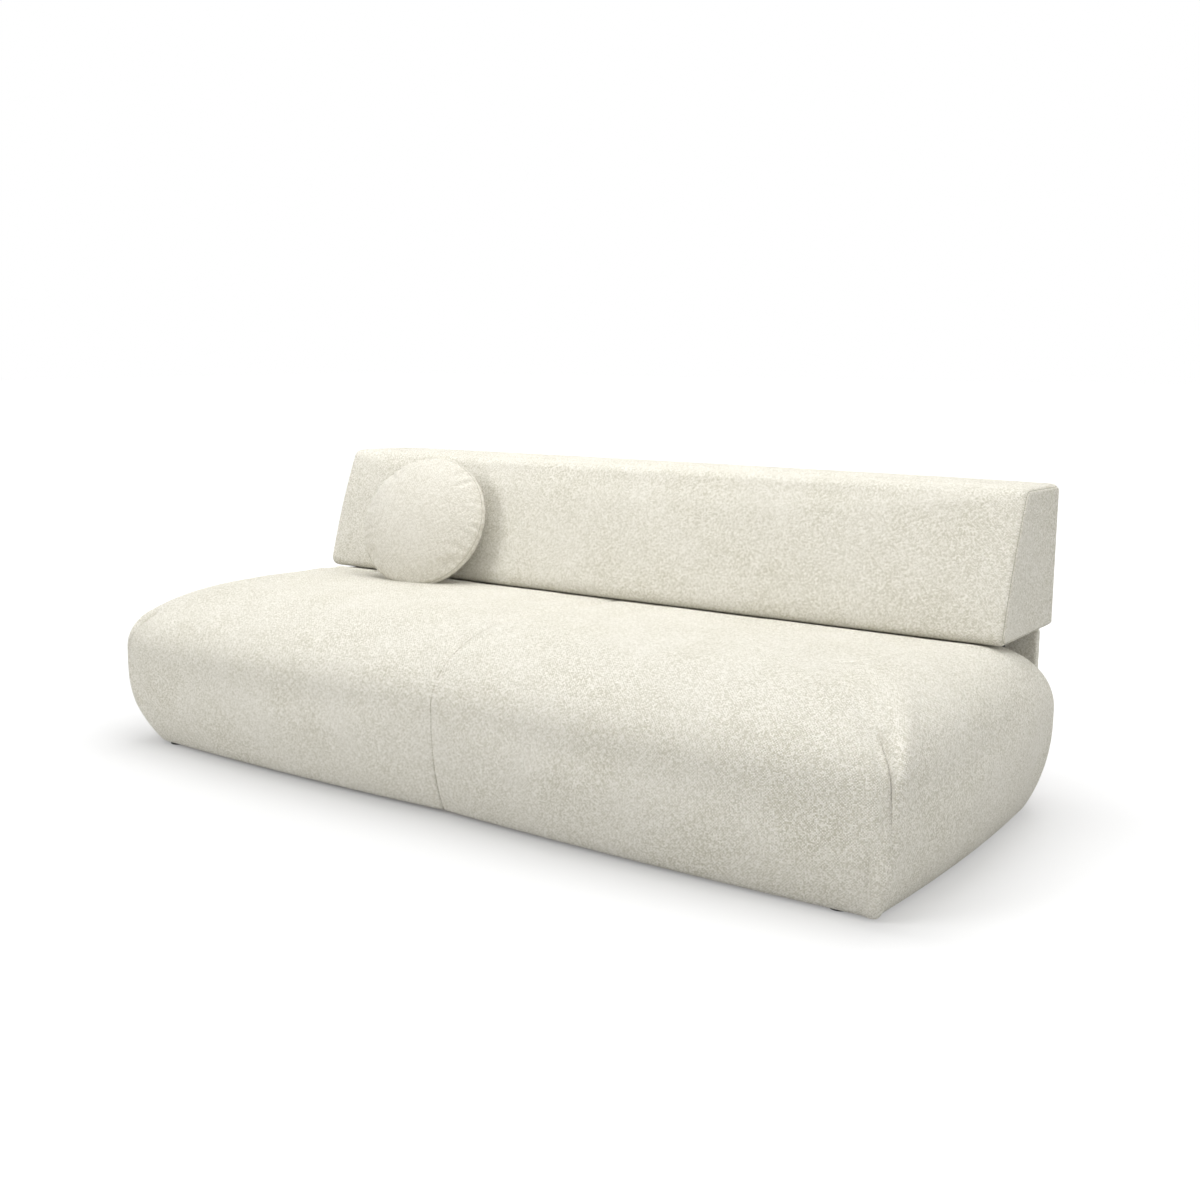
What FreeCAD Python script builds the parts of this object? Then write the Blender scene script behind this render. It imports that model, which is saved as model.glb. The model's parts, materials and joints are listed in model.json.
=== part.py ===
import FreeCAD, Part
import math
import os
import re

import Sketcher
from FreeCAD import Placement, Rotation, Vector

# Storage sofa bed: an upholstered seat that rolls forward over a storage box, a backrest that
# folds flat behind it on two ratchet hinges, and one loose round cushion.
# Millimetres, +Z up, the sitter faces -Y, origin on the floor below the middle of the sofa.

doc = FreeCAD.newDocument("StorageSofaBed")
sheet = doc.addObject("Spreadsheet::Sheet", "Sizes")

# Driving dimensions
FOLD_Y = 186.0
FOLD_Z = 406.0
BACK_TOP_FRONT_Y = 309.0
BACK_TOP_FRONT_Z = 751.0
HINGE_DROP = 153.5
BACK_SLANT = math.atan2(BACK_TOP_FRONT_Y - FOLD_Y, BACK_TOP_FRONT_Z - FOLD_Z)
FOLD_ANGLE = math.pi / 2 - BACK_SLANT

SIZES = {
    # seat upholstery
    "seat_half": 1150.0,
    "seat_front": -529.0,
    "seat_rear": 441.0,
    "seat_bottom": 15.0,
    "seat_bulge_z": 222.0,
    "seat_shoulder_z": 262.0,
    "seat_crown_z": 419.5,
    "seat_draw_in_front": 31.0,
    "seat_draw_in_side": 38.0,
    "seat_turn_under": 16.0,
    "seat_round_front": 275.0,
    "seat_round_side": 135.0,
    "seat_corner": 100.0,
    "seat_corner_low": 85.0,
    "seat_rear_corner": 150.0,
    "seat_seam_tuck": 9.0,
    "seat_bow": 13.0,
    "seat_dart": 11.0,
    "seat_slope_y": -110.0,
    "nose_gap": 7.0,
    "well_half": 1050.0,
    "well_front": -440.0,
    "well_top": 300.0,
    # backrest upholstery
    "fold_y": FOLD_Y,
    "fold_z": FOLD_Z,
    "back_half": 1050.0,
    "back_front_top_y": BACK_TOP_FRONT_Y,
    "back_front_top_z": BACK_TOP_FRONT_Z,
    "back_rear": 529.0,
    "back_rear_top_z": 746.0,
    "back_edge_in": 7.0,
    "back_edge_run": 24.0,
    "back_crown": 7.0,
    "slot_half": 978.0,
    "slot_front": 447.0,
    "slot_rear": 491.0,
    "slot_top": 702.0,
    "back_round_fold": 16.0,
    "back_round_heel": 14.0,
    "back_round_rear": 20.0,
    "back_round_top": 30.0,
    # round cushion
    "cushion_radius": 180.0,
    "cushion_gusset": 62.0,
    "cushion_crown": 42.0,
    "cushion_edge": 9.0,
    "cushion_x": -622.0,
    "cushion_y": 150.0,
    "cushion_z": 567.0,
    "cushion_lean": math.degrees(BACK_SLANT),
    "cushion_turn": 9.0,
    "cushion_flat_z": 412.6,
    "cushion_swell_at": 0.56,
    "cushion_swell": 0.74,
    # hinge gear
    "hinge_y": FOLD_Y + HINGE_DROP * math.tan(FOLD_ANGLE / 2),
    "hinge_z": FOLD_Z - HINGE_DROP,
    "hinge_drop": HINGE_DROP,
    "post_x": 946.0,
    "steel": 8.0,
    "arm_x": 956.0,
    "arm_low_z": 238.0,
    "arm_high_z": 267.0,
    "arm_front": 449.0,
    "arm_rear": 465.0,
    "arm_top_z": 486.0,
    "eye_radius": 28.0,
    "pin_radius": 8.0,
    "pin_play": 0.06,
    "pin_proud": 2.0,
    "pin_head": 4.0,
    "pin_head_thick": 3.0,
    "washer_rim": 6.0,
    "washer_gap": 0.3,
    "post_foot_half": 40.0,
    "post_neck_half": 24.0,
    "post_flange": 6.0,
    "post_out": 997.0,
    "bolt_radius": 5.0,
    "bolt_head": 5.0,
    "bolt_shift": 25.0,
    "bolt_in": 30.0,
    "arm_bolt_low": 12.0,
    "arm_bolt_high": 62.0,
    "ratchet_radius": 26.0,
    "ratchet_depth": 4.0,
    "ratchet_width": 6.0,
    "ratchet_gap": 0.5,
    "pawl_reach": 62.0,
    "pawl_gap": 1.0,
    "pawl_tip": 3.0,
    "pawl_half": 9.0,
    # storage box and base
    "board": 16.0,
    "box_half": 940.0,
    "box_front": -374.0,
    "box_rear": 336.0,
    "box_top": 240.0,
    "floor_board": 10.0,
    "bearer_in": 955.0,
    "bearer_width": 45.0,
    "bearer_front": -360.0,
    "bearer_rear": 470.0,
    "bearer_low": 15.0,
    "bearer_high": 40.0,
    "cross_width": 40.0,
    "foot_radius": 19.0,
    "foot_front": -330.0,
    "foot_rear": 440.0,
    # rolling gear
    "rail_front": -365.0,
    "rail_rear": 250.0,
    "rail_wall": 2.5,
    "rail_depth": 24.0,
    "rail_low": 150.0,
    "rail_height": 40.0,
    "roller_radius": 17.0,
    "roller_width": 15.0,
    "roller_x": 946.0,
    "roller_y": 206.0,
    "roller_z": 170.0,
    "roller_axle": 5.0,
    "bracket_x": 984.0,
    "bracket_wall": 6.0,
    "bracket_top_half": 22.0,
    "bracket_low_half": 12.0,
    "bracket_eye": 13.0,
    "glide_radius": 21.0,
    "glide_low": 2.0,
    "glide_x": 990.0,
    "glide_y": -444.0,
    "wheel_radius": 7.0,
    "wheel_width": 14.0,
    "wheel_axle": 2.0,
    "wheel_gap": 1.5,
    "glide_roof": 0.5,
    "axle_inset": 6.0,
    "axle_proud": 2.0,
    "block_width": 42.0,
    "block_depth": 40.0,
    "running_play": 0.05,
    # seat frame
    "side_board": 18.0,
    "side_board_rear": 338.0,
    "board_low": 36.0,
    "sill_half": 1012.0,
    "sill_front": -462.0,
    "sill_top": 60.0,
    "frame_low": 262.0,
    "deck_low": 290.0,
    "frame_rail": 50.0,
    "frame_rear": 380.0,
    "deck_rear": 400.0,
    "rear_rail_half": 930.0,
    # backrest frame
    "back_rail": 40.0,
    "apron_half": 1040.0,
    "apron_thick": 20.0,
    "apron_low": 250.0,
    "apron_gap": 1.0,
    "apron_soft": 6.0,
    "frame_play": 2.0,
    # how far a cutting shape runs past what it cuts
    "overcut": 5.0,
}

# Level sections of the seat: even steps up its sides, then turns over its rounded shoulder
SIDE_STEPS = 5
SHOULDER_TURNS = (18, 36, 54, 71, 85)
# A fillet's middle lies this share of its radius in from each side
FILLET_MID = 1.0 - math.sqrt(0.5)
# How much of the bow is left halfway round the corner to the dart
BOW_LEFT = 0.4
RATCHET_TEETH = 15
TOOTH_RUN = 0.92


def fill_sheet():
    """One row per size: the word in column A, the number in column B under that alias."""
    for row, (alias, value) in enumerate(SIZES.items(), start=1):
        sheet.set(f"A{row}", alias)
        sheet.set(f"B{row}", str(round(value, 4)))
        sheet.setAlias(f"B{row}", alias)
    doc.recompute()


def size(alias):
    """A size read back from the sheet."""
    return float(sheet.get(alias))


def bound(text):
    """An expression written in plain size names, turned into one on the sheet."""
    return re.sub(r"[a-z][a-z_]*", lambda word: "Sizes." + word.group(0), text)


def bind(piece, **expressions):
    """Binds properties of a piece to expressions on the sheet."""
    for name, text in expressions.items():
        piece.setExpression(name, bound(text))


def place(piece, x, y, z):
    """Binds the place of a piece to expressions on the sheet."""
    for axis, text in (("x", x), ("y", y), ("z", z)):
        piece.setExpression("Placement.Base." + axis, bound(text))


def box(label, x, y, z):
    """A board between two limits on each axis, each pair given as low and high expressions."""
    piece = doc.addObject("Part::Box", label)
    names = ("Length", "Width", "Height")
    for name, (low, high) in zip(names, (x, y, z)):
        piece.setExpression(name, bound(f"({high}) - ({low})"))
    place(piece, x[0], y[0], z[0])
    return piece


def rod(label, radius, x, y, z):
    """A round bar along X between two limits, centred at y and z."""
    piece = doc.addObject("Part::Cylinder", label)
    piece.Placement = Placement(Vector(), Rotation(Vector(0, 1, 0), 90))
    bind(piece, Radius=radius, Height=f"({x[1]}) - ({x[0]})")
    place(piece, x[0], y, z)
    return piece


def peg(label, radius, x, y, z):
    """A round bar along Z between two limits, centred at x and y."""
    piece = doc.addObject("Part::Cylinder", label)
    bind(piece, Radius=radius, Height=f"({z[1]}) - ({z[0]})")
    place(piece, x, y, z[0])
    return piece


def cut(label, base, tool):
    """One solid with another taken out of it."""
    piece = doc.addObject("Part::Cut", label)
    piece.Base = base
    piece.Tool = tool
    return piece


def common(label, base, tool):
    """What two solids share."""
    piece = doc.addObject("Part::Common", label)
    piece.Base = base
    piece.Tool = tool
    return piece


def fuse(label, *shapes):
    """Several solids made one."""
    piece = doc.addObject("Part::MultiFuse", label)
    piece.Shapes = list(shapes)
    return piece


def group(label, shapes):
    """Identical pieces kept as separate solids under one name."""
    piece = doc.addObject("Part::Compound", label)
    piece.Links = list(shapes)
    return piece


def mirror(label, source):
    """The left-hand twin of a right-hand piece."""
    piece = doc.addObject("Part::Mirroring", label)
    piece.Source = source
    piece.Base = Vector(0, 0, 0)
    piece.Normal = Vector(1, 0, 0)
    return piece


def sketch_on_yz(body, name):
    """A sketch on the body's own YZ plane: its first axis is Y and its second is Z."""
    sketch = body.newObject("Sketcher::SketchObject", name)
    plane = [p for p in body.Origin.OriginFeatures if p.Role == "YZ_Plane"][0]
    sketch.AttachmentSupport = [(plane, "")]
    sketch.MapMode = "FlatFace"
    return sketch


def value_of(text):
    """The number that a sum of plain size names gives."""
    words = re.findall(r"[a-z][a-z_]*|[0-9.]+|[-+]", text)
    total = 0.0
    sign = 1.0
    for word in words:
        if word in "+-":
            sign = 1.0 if word == "+" else -1.0
        else:
            total += sign * (float(word) if word[0].isdigit() else size(word))
            sign = 1.0
    return total


def pin_point(sketch, geometry, point, y, z):
    """Holds one point of a sketch at two expressions on the sheet."""
    for kind, text in (("DistanceX", y), ("DistanceY", z)):
        rule = Sketcher.Constraint(kind, -1, 1, geometry, point, value_of(text))
        number = sketch.addConstraint(rule)
        sketch.setExpression(f"Constraints[{number}]", bound(text))


def polygon(sketch, corners):
    """A closed outline of straight runs through corners given as pairs of expressions."""
    points = [Vector(value_of(y), value_of(z), 0) for y, z in corners]
    first = sketch.GeometryCount
    for start, end in zip(points, points[1:] + points[:1]):
        sketch.addGeometry(Part.LineSegment(start, end), False)
    for number in range(len(points)):
        following = first + (number + 1) % len(points)
        sketch.addConstraint(Sketcher.Constraint("Coincident", first + number, 2, following, 1))
        pin_point(sketch, first + number, 1, *corners[number])


def circle(sketch, y, z, radius):
    """A circle with its centre and radius bound to the sheet."""
    centre = Vector(value_of(y), value_of(z), 0)
    number = sketch.addGeometry(Part.Circle(centre, Vector(0, 0, 1), value_of(radius)), False)
    rule = sketch.addConstraint(Sketcher.Constraint("Radius", number, value_of(radius)))
    sketch.setExpression(f"Constraints[{rule}]", bound(radius))
    pin_point(sketch, number, 3, y, z)


def pad(body, name, sketch, thickness):
    """A pad of one sketch towards +X."""
    feature = body.newObject("PartDesign::Pad", name)
    feature.Profile = sketch
    feature.setExpression("Length", bound(thickness))
    return feature


def plate(label, x, thickness, corners, eyes, holes):
    """A steel plate square to X: a straight-sided outline, round eyes added and holes cut."""
    body = doc.addObject("PartDesign::Body", label)
    outline = sketch_on_yz(body, label + "_outline")
    polygon(outline, corners)
    pad(body, label + "_web", outline, thickness)
    for number, eye in enumerate(eyes):
        boss = sketch_on_yz(body, f"{label}_eye_{number}")
        circle(boss, *eye)
        pad(body, f"{label}_boss_{number}", boss, thickness)
    for number, hole in enumerate(holes):
        bore = sketch_on_yz(body, f"{label}_bore_{number}")
        circle(bore, *hole)
        pocket = body.newObject("PartDesign::Pocket", f"{label}_hole_{number}")
        pocket.Profile = bore
        pocket.Type = "ThroughAll"
        pocket.Midplane = True
    body.setExpression("Placement.Base.x", bound(x))
    return body


def arc(start, middle, end):
    """An arc through three points, or a straight run where they lie in line."""
    chord = end - start
    if chord.cross(middle - start).Length < 1e-6 * chord.Length:
        return Part.LineSegment(start, end).toShape()
    return Part.Arc(start, middle, end).toShape()


def soft(label, shape):
    """An upholstered form whose shape is worked out from the sheet's sizes."""
    piece = doc.addObject("Part::Feature", label)
    piece.Shape = shape
    return piece


def shoulder(z, run):
    """How far the seat's top rounds back at a height, along an elliptical shoulder."""
    low = size("seat_shoulder_z")
    if z <= low:
        return 0.0
    rise = (z - low) / (size("seat_crown_z") - low)
    return run * (1.0 - math.sqrt(max(0.0, 1.0 - rise * rise)))


def draw_in(z, depth):
    """How far the seat's sides are drawn in at a height, below the bulge."""
    bulge = size("seat_bulge_z")
    if z >= bulge:
        return 0.0
    fall = (bulge - z) / (bulge - size("seat_bottom"))
    return depth * fall ** 2 + size("seat_turn_under") * fall ** 9


def seat_section(z):
    """The right half of the seat cut level at a height: seam, bowed front, darted corner, side."""
    half = size("seat_half") - draw_in(z, size("seat_draw_in_side"))
    half -= shoulder(z, size("seat_round_side"))
    front = size("seat_front") + draw_in(z, size("seat_draw_in_front"))
    front += shoulder(z, size("seat_round_front"))
    rear = size("seat_rear")
    low = max(0.0, (size("seat_bulge_z") - z) / (size("seat_bulge_z") - size("seat_bottom")))
    corner = size("seat_corner") * (1.0 - low) + size("seat_corner_low") * low
    rear_corner = size("seat_rear_corner")
    bow = size("seat_bow")
    height = (z - size("seat_bottom")) / (size("seat_crown_z") - size("seat_bottom"))
    dart = size("seat_dart") * max(0.0, math.sin(math.pi * height)) ** 2
    centre = Vector(half - corner, front + corner, z)

    def on_corner(degrees, inset):
        angle = math.radians(degrees)
        reach = corner - inset
        return centre + Vector(reach * math.sin(angle), -reach * math.cos(angle), 0)

    seam = Vector(0, front + size("seat_seam_tuck"), z)
    corner_front = on_corner(0, bow)
    corner_side = on_corner(90, bow)
    valley = on_corner(45, dart)
    side_rear = Vector(half - bow, rear - rear_corner, z)
    rear_mid = Vector(half - bow - FILLET_MID * rear_corner, rear - FILLET_MID * rear_corner, z)
    rear_start = Vector(half - bow - rear_corner, rear, z)
    rear_seam = Vector(0, rear, z)
    front_mid = Vector(0.5 * corner_front.x, front, z)
    side_mid = Vector(half, 0.5 * (corner_side.y + side_rear.y), z)
    edges = [
        arc(seam, front_mid, corner_front),
        arc(corner_front, on_corner(22.5, BOW_LEFT * bow), valley),
        arc(valley, on_corner(67.5, BOW_LEFT * bow), corner_side),
        arc(corner_side, side_mid, side_rear),
        arc(side_rear, rear_mid, rear_start),
        Part.LineSegment(rear_start, rear_seam).toShape(),
        Part.LineSegment(rear_seam, seam).toShape(),
    ]
    return Part.Wire(edges)


def seat_loaf():
    """The plump outside of the seat's right half, lofted through level sections."""
    bottom = size("seat_bottom")
    low = size("seat_shoulder_z")
    rise = size("seat_crown_z") - low
    heights = [bottom + (low - bottom) * step / SIDE_STEPS for step in range(SIDE_STEPS + 1)]
    heights += [low + rise * math.sin(math.radians(turn)) for turn in SHOULDER_TURNS]
    return Part.makeLoft([seat_section(z) for z in heights], True, False)


def nose_prism():
    """The seat's side outline: top sloping to the rear and a nose round the hinge axis."""
    hinge_y = size("hinge_y")
    hinge_z = size("hinge_z")
    radius = size("hinge_drop") - size("nose_gap")
    past = size("overcut")
    ahead = size("seat_front") - past
    crown = size("seat_crown_z")

    def at(y, z):
        return Vector(-past, y, z)

    nose_top = at(hinge_y, hinge_z + radius)
    nose_tip = at(hinge_y + radius, hinge_z)
    nose_mid = at(hinge_y + radius * math.sqrt(0.5), hinge_z + radius * math.sqrt(0.5))
    runs = [at(nose_tip.y, 0), at(ahead, 0), at(ahead, crown)]
    runs += [at(size("seat_slope_y"), crown), nose_top]
    edges = [Part.LineSegment(a, b).toShape() for a, b in zip([nose_tip] + runs, runs)]
    edges.append(Part.Arc(nose_top, nose_mid, nose_tip).toShape())
    return Part.Face(Part.Wire(edges)).extrude(Vector(size("seat_half") + 2 * past, 0, 0))


def seat_pads():
    """The two upholstered halves of the seat: hollow below, open to the rear for the base."""
    loaf = soft("seat_loaf", seat_loaf())
    outline = soft("seat_outline", nose_prism())
    shaped = common("seat_shaped", loaf, outline)
    past = "0 - overcut"
    well = box("seat_well", (past, "well_half"), ("well_front", "seat_rear + overcut"), (past, "well_top"))
    recess = box("sill_recess", (past, "sill_half"), ("sill_front", "well_front + overcut"),
                 (past, "sill_top"))
    right = cut("seat_pad_right", shaped, fuse("seat_hollow", well, recess))
    return [right, mirror("seat_pad_left", right)]


def rounded(corners, radii, bows, at):
    """A closed wire through corners rounded by arcs, each side bowed outwards by its own amount."""
    count = len(corners)
    starts = []
    ends = []
    middles = []
    for number in range(count):
        here = corners[number]
        back = (corners[number - 1] - here).normalize()
        onward = (corners[(number + 1) % count] - here).normalize()
        half_angle = 0.5 * back.getAngle(onward)
        run = radii[number] / math.tan(half_angle)
        inwards = (back + onward).normalize()
        to_arc = radii[number] / math.sin(half_angle) - radii[number]
        starts.append(here + back * run)
        ends.append(here + onward * run)
        middles.append(here + inwards * to_arc)
    edges = []
    for number in range(count):
        following = (number + 1) % count
        edges.append(arc(at(starts[number]), at(middles[number]), at(ends[number])))
        side = starts[following] - ends[number]
        outwards = Vector(side.y, -side.x, 0).normalize()
        bowed = (starts[following] + ends[number]) * 0.5 + outwards * bows[number]
        edges.append(arc(at(ends[number]), at(bowed), at(starts[following])))
    return Part.Wire(edges)


def back_section(x, inset):
    """The backrest cut square to X: a wedge with a slanted, crowned front, drawn in by an inset."""
    slant = math.radians(size("cushion_lean"))
    low = size("fold_z") + 0.5 * inset
    high_front = size("back_front_top_z") - inset
    high_rear = size("back_rear_top_z") - inset
    ahead = inset / math.cos(slant)
    fold_shift = (low - size("fold_z")) * math.tan(slant)
    corners = [
        Vector(size("fold_y") + ahead + fold_shift, low, 0),
        Vector(size("back_rear") - inset, low, 0),
        Vector(size("back_rear") - inset, high_rear, 0),
        Vector(size("back_front_top_y") + ahead - inset * math.tan(slant), high_front, 0),
    ]
    radii = [size("back_round_" + edge) for edge in ("fold", "heel", "rear", "top")]
    bows = [0.0, 0.0, 0.0, size("back_crown")]
    return rounded(corners, radii, bows, lambda p: Vector(x, p.x, p.y))


def backrest_pad():
    """The backrest's upholstery: one long wedge drawn in at both ends, slotted for its frame."""
    half = size("back_half")
    run = size("back_edge_run")
    inset = size("back_edge_in")
    stations = [(half, inset), (half - 0.3 * run, 0.35 * inset), (half - run, 0.0)]
    stations += [(-x, drawn) for x, drawn in reversed(stations)]
    wedge = soft("backrest_wedge", Part.makeLoft([back_section(x, i) for x, i in stations], True, True))
    slot = box("backrest_slot", ("0 - slot_half", "slot_half"), ("slot_front", "slot_rear"),
               ("fold_z - overcut", "slot_top"))
    return cut("backrest_pad", wedge, slot)


def cushion_profile():
    """Half the round cushion's section: crowned faces, soft edges and a straight gusset."""
    radius = size("cushion_radius")
    gusset = 0.5 * size("cushion_gusset")
    top = gusset + size("cushion_crown")
    edge = size("cushion_edge")
    rim = radius - edge
    soft_mid = edge * math.sqrt(0.5)
    swell = size("cushion_swell") * (top - gusset - edge)
    crown_mid = Vector(size("cushion_swell_at") * rim, 0, gusset + edge + swell)
    upper = [Vector(0, 0, top), crown_mid, Vector(rim, 0, gusset + edge)]
    round_upper = [upper[2], Vector(rim + soft_mid, 0, gusset + soft_mid), Vector(radius, 0, gusset)]

    def flip(points):
        return [Vector(p.x, 0, -p.z) for p in reversed(points)]

    edges = [arc(*upper), arc(*round_upper)]
    edges.append(Part.LineSegment(round_upper[2], flip(round_upper)[0]).toShape())
    edges += [arc(*flip(round_upper)), arc(*flip(upper))]
    edges.append(Part.LineSegment(flip(upper)[2], upper[0]).toShape())
    return Part.Face(Part.Wire(edges))


def round_cushion():
    """The loose cushion: leaning on the backrest, a little turned, flat where it sits on the seat."""
    disc = soft("cushion_disc", cushion_profile().revolve(Vector(), Vector(0, 0, 1), 360))
    upright = Rotation(Vector(1, 0, 0), 90.0 - size("cushion_lean"))
    turned = Rotation(Vector(0, 0, 1), size("cushion_turn"))
    centre = Vector(size("cushion_x"), size("cushion_y"), size("cushion_z"))
    disc.Placement = Placement(centre, turned.multiply(upright))
    around = "cushion_radius + overcut"
    seat = box("cushion_seat", (f"cushion_x - ({around})", f"cushion_x + {around}"),
               (f"cushion_y - ({around})", f"cushion_y + {around}"), ("0", "cushion_flat_z"))
    return cut("round_cushion", disc, seat)


def storage_box():
    """The bedding box: a floor board on the base and four walls standing on it."""
    inner = "box_half - board"
    low = "bearer_low + bearer_high"
    wall = (f"{low} + floor_board", "box_top")
    full = ("0 - box_half", "box_half")
    between = ("0 - box_half + board", inner)
    along = ("box_front", "box_rear")
    floor = box("storage_floor", full, along, (low, f"{low} + floor_board"))
    front = box("storage_front_wall", between, ("box_front", "box_front + board"), wall)
    rear = box("storage_rear_wall", between, ("box_rear - board", "box_rear"), wall)
    right = box("storage_side_right", (inner, "box_half"), along, wall)
    return [floor, front, rear, right, mirror("storage_side_left", right)]


def base_frame():
    """Two bearers with cross rails between them, on six plain feet."""
    height = ("bearer_low", "bearer_low + bearer_high")
    right = box("base_bearer_right", ("bearer_in", "bearer_in + bearer_width"),
                ("bearer_front", "bearer_rear"), height)
    rails = []
    for number, share in enumerate((0.0, 0.33, 0.66, 1.0)):
        at = f"bearer_front + (bearer_rear - cross_width - bearer_front) * {share}"
        rails.append(box(f"cross_rail_{number}", ("0 - bearer_in", "bearer_in"),
                         (at, f"{at} + cross_width"), height))
    feet = []
    for side, sign in (("right", ""), ("left", "0 - ")):
        for number, share in enumerate((0.0, 0.5, 1.0)):
            at = f"foot_front + (foot_rear - foot_front) * {share}"
            middle = f"{sign}(bearer_in + bearer_width / 2)"
            feet.append(peg(f"foot_{side}_{number}", "foot_radius", middle, at, ("0", "bearer_low")))
    left = mirror("base_bearer_left", right)
    return [right, left, group("base_cross_rails", rails), group("base_feet", feet)]


def guide_rails():
    """Steel channels on the box's sides, open outwards, in which the seat's rollers run."""
    outer = box("rail_outer", ("box_half", "box_half + rail_depth"), ("rail_front", "rail_rear"),
                ("rail_low", "rail_low + rail_height"))
    inner = box("rail_inner", ("box_half + rail_wall", "box_half + rail_depth + overcut"),
                ("rail_front - overcut", "rail_rear + overcut"),
                ("rail_low + rail_wall", "rail_low + rail_height - rail_wall"))
    right = cut("guide_rail_right", outer, inner)
    return [right, mirror("guide_rail_left", right)]


def hinge_posts():
    """Steel posts that stand on the bearers and carry the backrest's hinge pins."""
    foot_z = "bearer_low + bearer_high"
    corners = [
        ("hinge_y - post_foot_half", foot_z),
        ("hinge_y + post_foot_half", foot_z),
        ("hinge_y + post_neck_half", "hinge_z"),
        ("hinge_y - post_neck_half", "hinge_z"),
    ]
    eye = [("hinge_y", "hinge_z", "eye_radius")]
    bore = [("hinge_y", "hinge_z", "pin_radius")]
    web = plate("post_web", "post_x", "steel", corners, eye, bore)
    flange_top = f"{foot_z} + post_flange"
    flange = box("post_foot", ("post_x + steel", "post_out"),
                 ("hinge_y - post_foot_half", "hinge_y + post_foot_half"), (foot_z, flange_top))
    right = fuse("hinge_post_right", web, flange)
    bolts = []
    for side, sign in (("right", ""), ("left", "0 - ")):
        for number, shift in enumerate(("0 - bolt_shift", "bolt_shift")):
            middle = f"{sign}(bearer_in + bolt_in)"
            bolts.append(peg(f"post_bolt_{side}_{number}", "bolt_radius", middle, f"hinge_y + ({shift})",
                             (flange_top, f"{flange_top} + bolt_head")))
    return [right, mirror("hinge_post_left", right), group("post_bolts", bolts)]


def hinge_pins():
    """Headed pins through post, washer and arm, with a ratchet wheel keyed on the outer end."""
    inner = "post_x - pin_proud"
    outer = "arm_x + steel + ratchet_gap + ratchet_width"
    shank = rod("pin_shank", "pin_radius", (inner, outer), "hinge_y", "hinge_z")
    head = rod("pin_cap", "pin_radius + pin_head", (f"{inner} - pin_head_thick", inner), "hinge_y", "hinge_z")
    right = fuse("hinge_pin_right", shank, head)
    ring = rod("washer_ring", "pin_radius + washer_rim", ("post_x + steel", "arm_x - washer_gap"),
               "hinge_y", "hinge_z")
    bore = rod("washer_bore", "pin_radius", ("post_x", "arm_x + overcut"), "hinge_y", "hinge_z")
    washer = cut("washer_right", ring, bore)
    washers = group("hinge_washers", [washer, mirror("washer_left", washer)])
    return [right, mirror("hinge_pin_left", right), washers]


def ratchet_wheels():
    """Saw-toothed wheels fixed to the pins, which set the backrest's positions."""
    tip = size("ratchet_radius")
    root = tip - size("ratchet_depth")
    body = doc.addObject("PartDesign::Body", "ratchet_wheel_right")
    outline = sketch_on_yz(body, "ratchet_teeth")
    points = []
    for number in range(RATCHET_TEETH):
        for turn, radius in ((0.0, tip), (TOOTH_RUN, root)):
            angle = 2 * math.pi * (number + turn) / RATCHET_TEETH
            y = size("hinge_y") + radius * math.cos(angle)
            z = size("hinge_z") + radius * math.sin(angle)
            points.append(Vector(y, z, 0))
    for start, end in zip(points, points[1:] + points[:1]):
        outline.addGeometry(Part.LineSegment(start, end), False)
    circle(outline, "hinge_y", "hinge_z", "pin_radius")
    pad(body, "ratchet_disc", outline, "ratchet_width")
    body.setExpression("Placement.Base.x", bound("arm_x + steel + ratchet_gap"))
    return [body, mirror("ratchet_wheel_left", body)]


def hinge_arms():
    """L-shaped steel arms: from the pin back under the seat's nose, then up into the backrest."""
    corners = [
        ("hinge_y", "arm_low_z"),
        ("arm_rear", "arm_low_z"),
        ("arm_rear", "arm_top_z"),
        ("arm_front", "arm_top_z"),
        ("arm_front", "arm_high_z"),
        ("hinge_y", "arm_high_z"),
    ]
    eye = [("hinge_y", "hinge_z", "eye_radius")]
    bore = [("hinge_y", "hinge_z", "pin_radius + pin_play")]
    right = plate("hinge_arm_right", "arm_x", "steel", corners, eye, bore)
    pawl_corners = [
        ("hinge_y + ratchet_radius + pawl_gap", "hinge_z - pawl_tip"),
        ("hinge_y + pawl_reach", "hinge_z - pawl_half"),
        ("hinge_y + pawl_reach", "hinge_z + pawl_half"),
        ("hinge_y + ratchet_radius + pawl_gap + pawl_tip", "hinge_z + pawl_tip"),
    ]
    pawl_eye = [("hinge_y + pawl_reach", "hinge_z", "pawl_half")]
    pawl = plate("ratchet_pawl_right", "arm_x + steel", "ratchet_width", pawl_corners, pawl_eye, [])
    bolts = []
    for number, height in enumerate(("arm_bolt_low", "arm_bolt_high")):
        middle = "(arm_front + arm_rear) / 2"
        bolt = rod(f"arm_bolt_right_{number}", "bolt_radius", ("arm_x + steel", "arm_x + steel + bolt_head"),
                   middle, f"fold_z + {height}")
        bolts += [bolt, mirror(f"arm_bolt_left_{number}", bolt)]
    return [
        right, mirror("hinge_arm_left", right),
        pawl, mirror("ratchet_pawl_left", pawl),
        group("arm_bolts", bolts),
    ]


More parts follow.
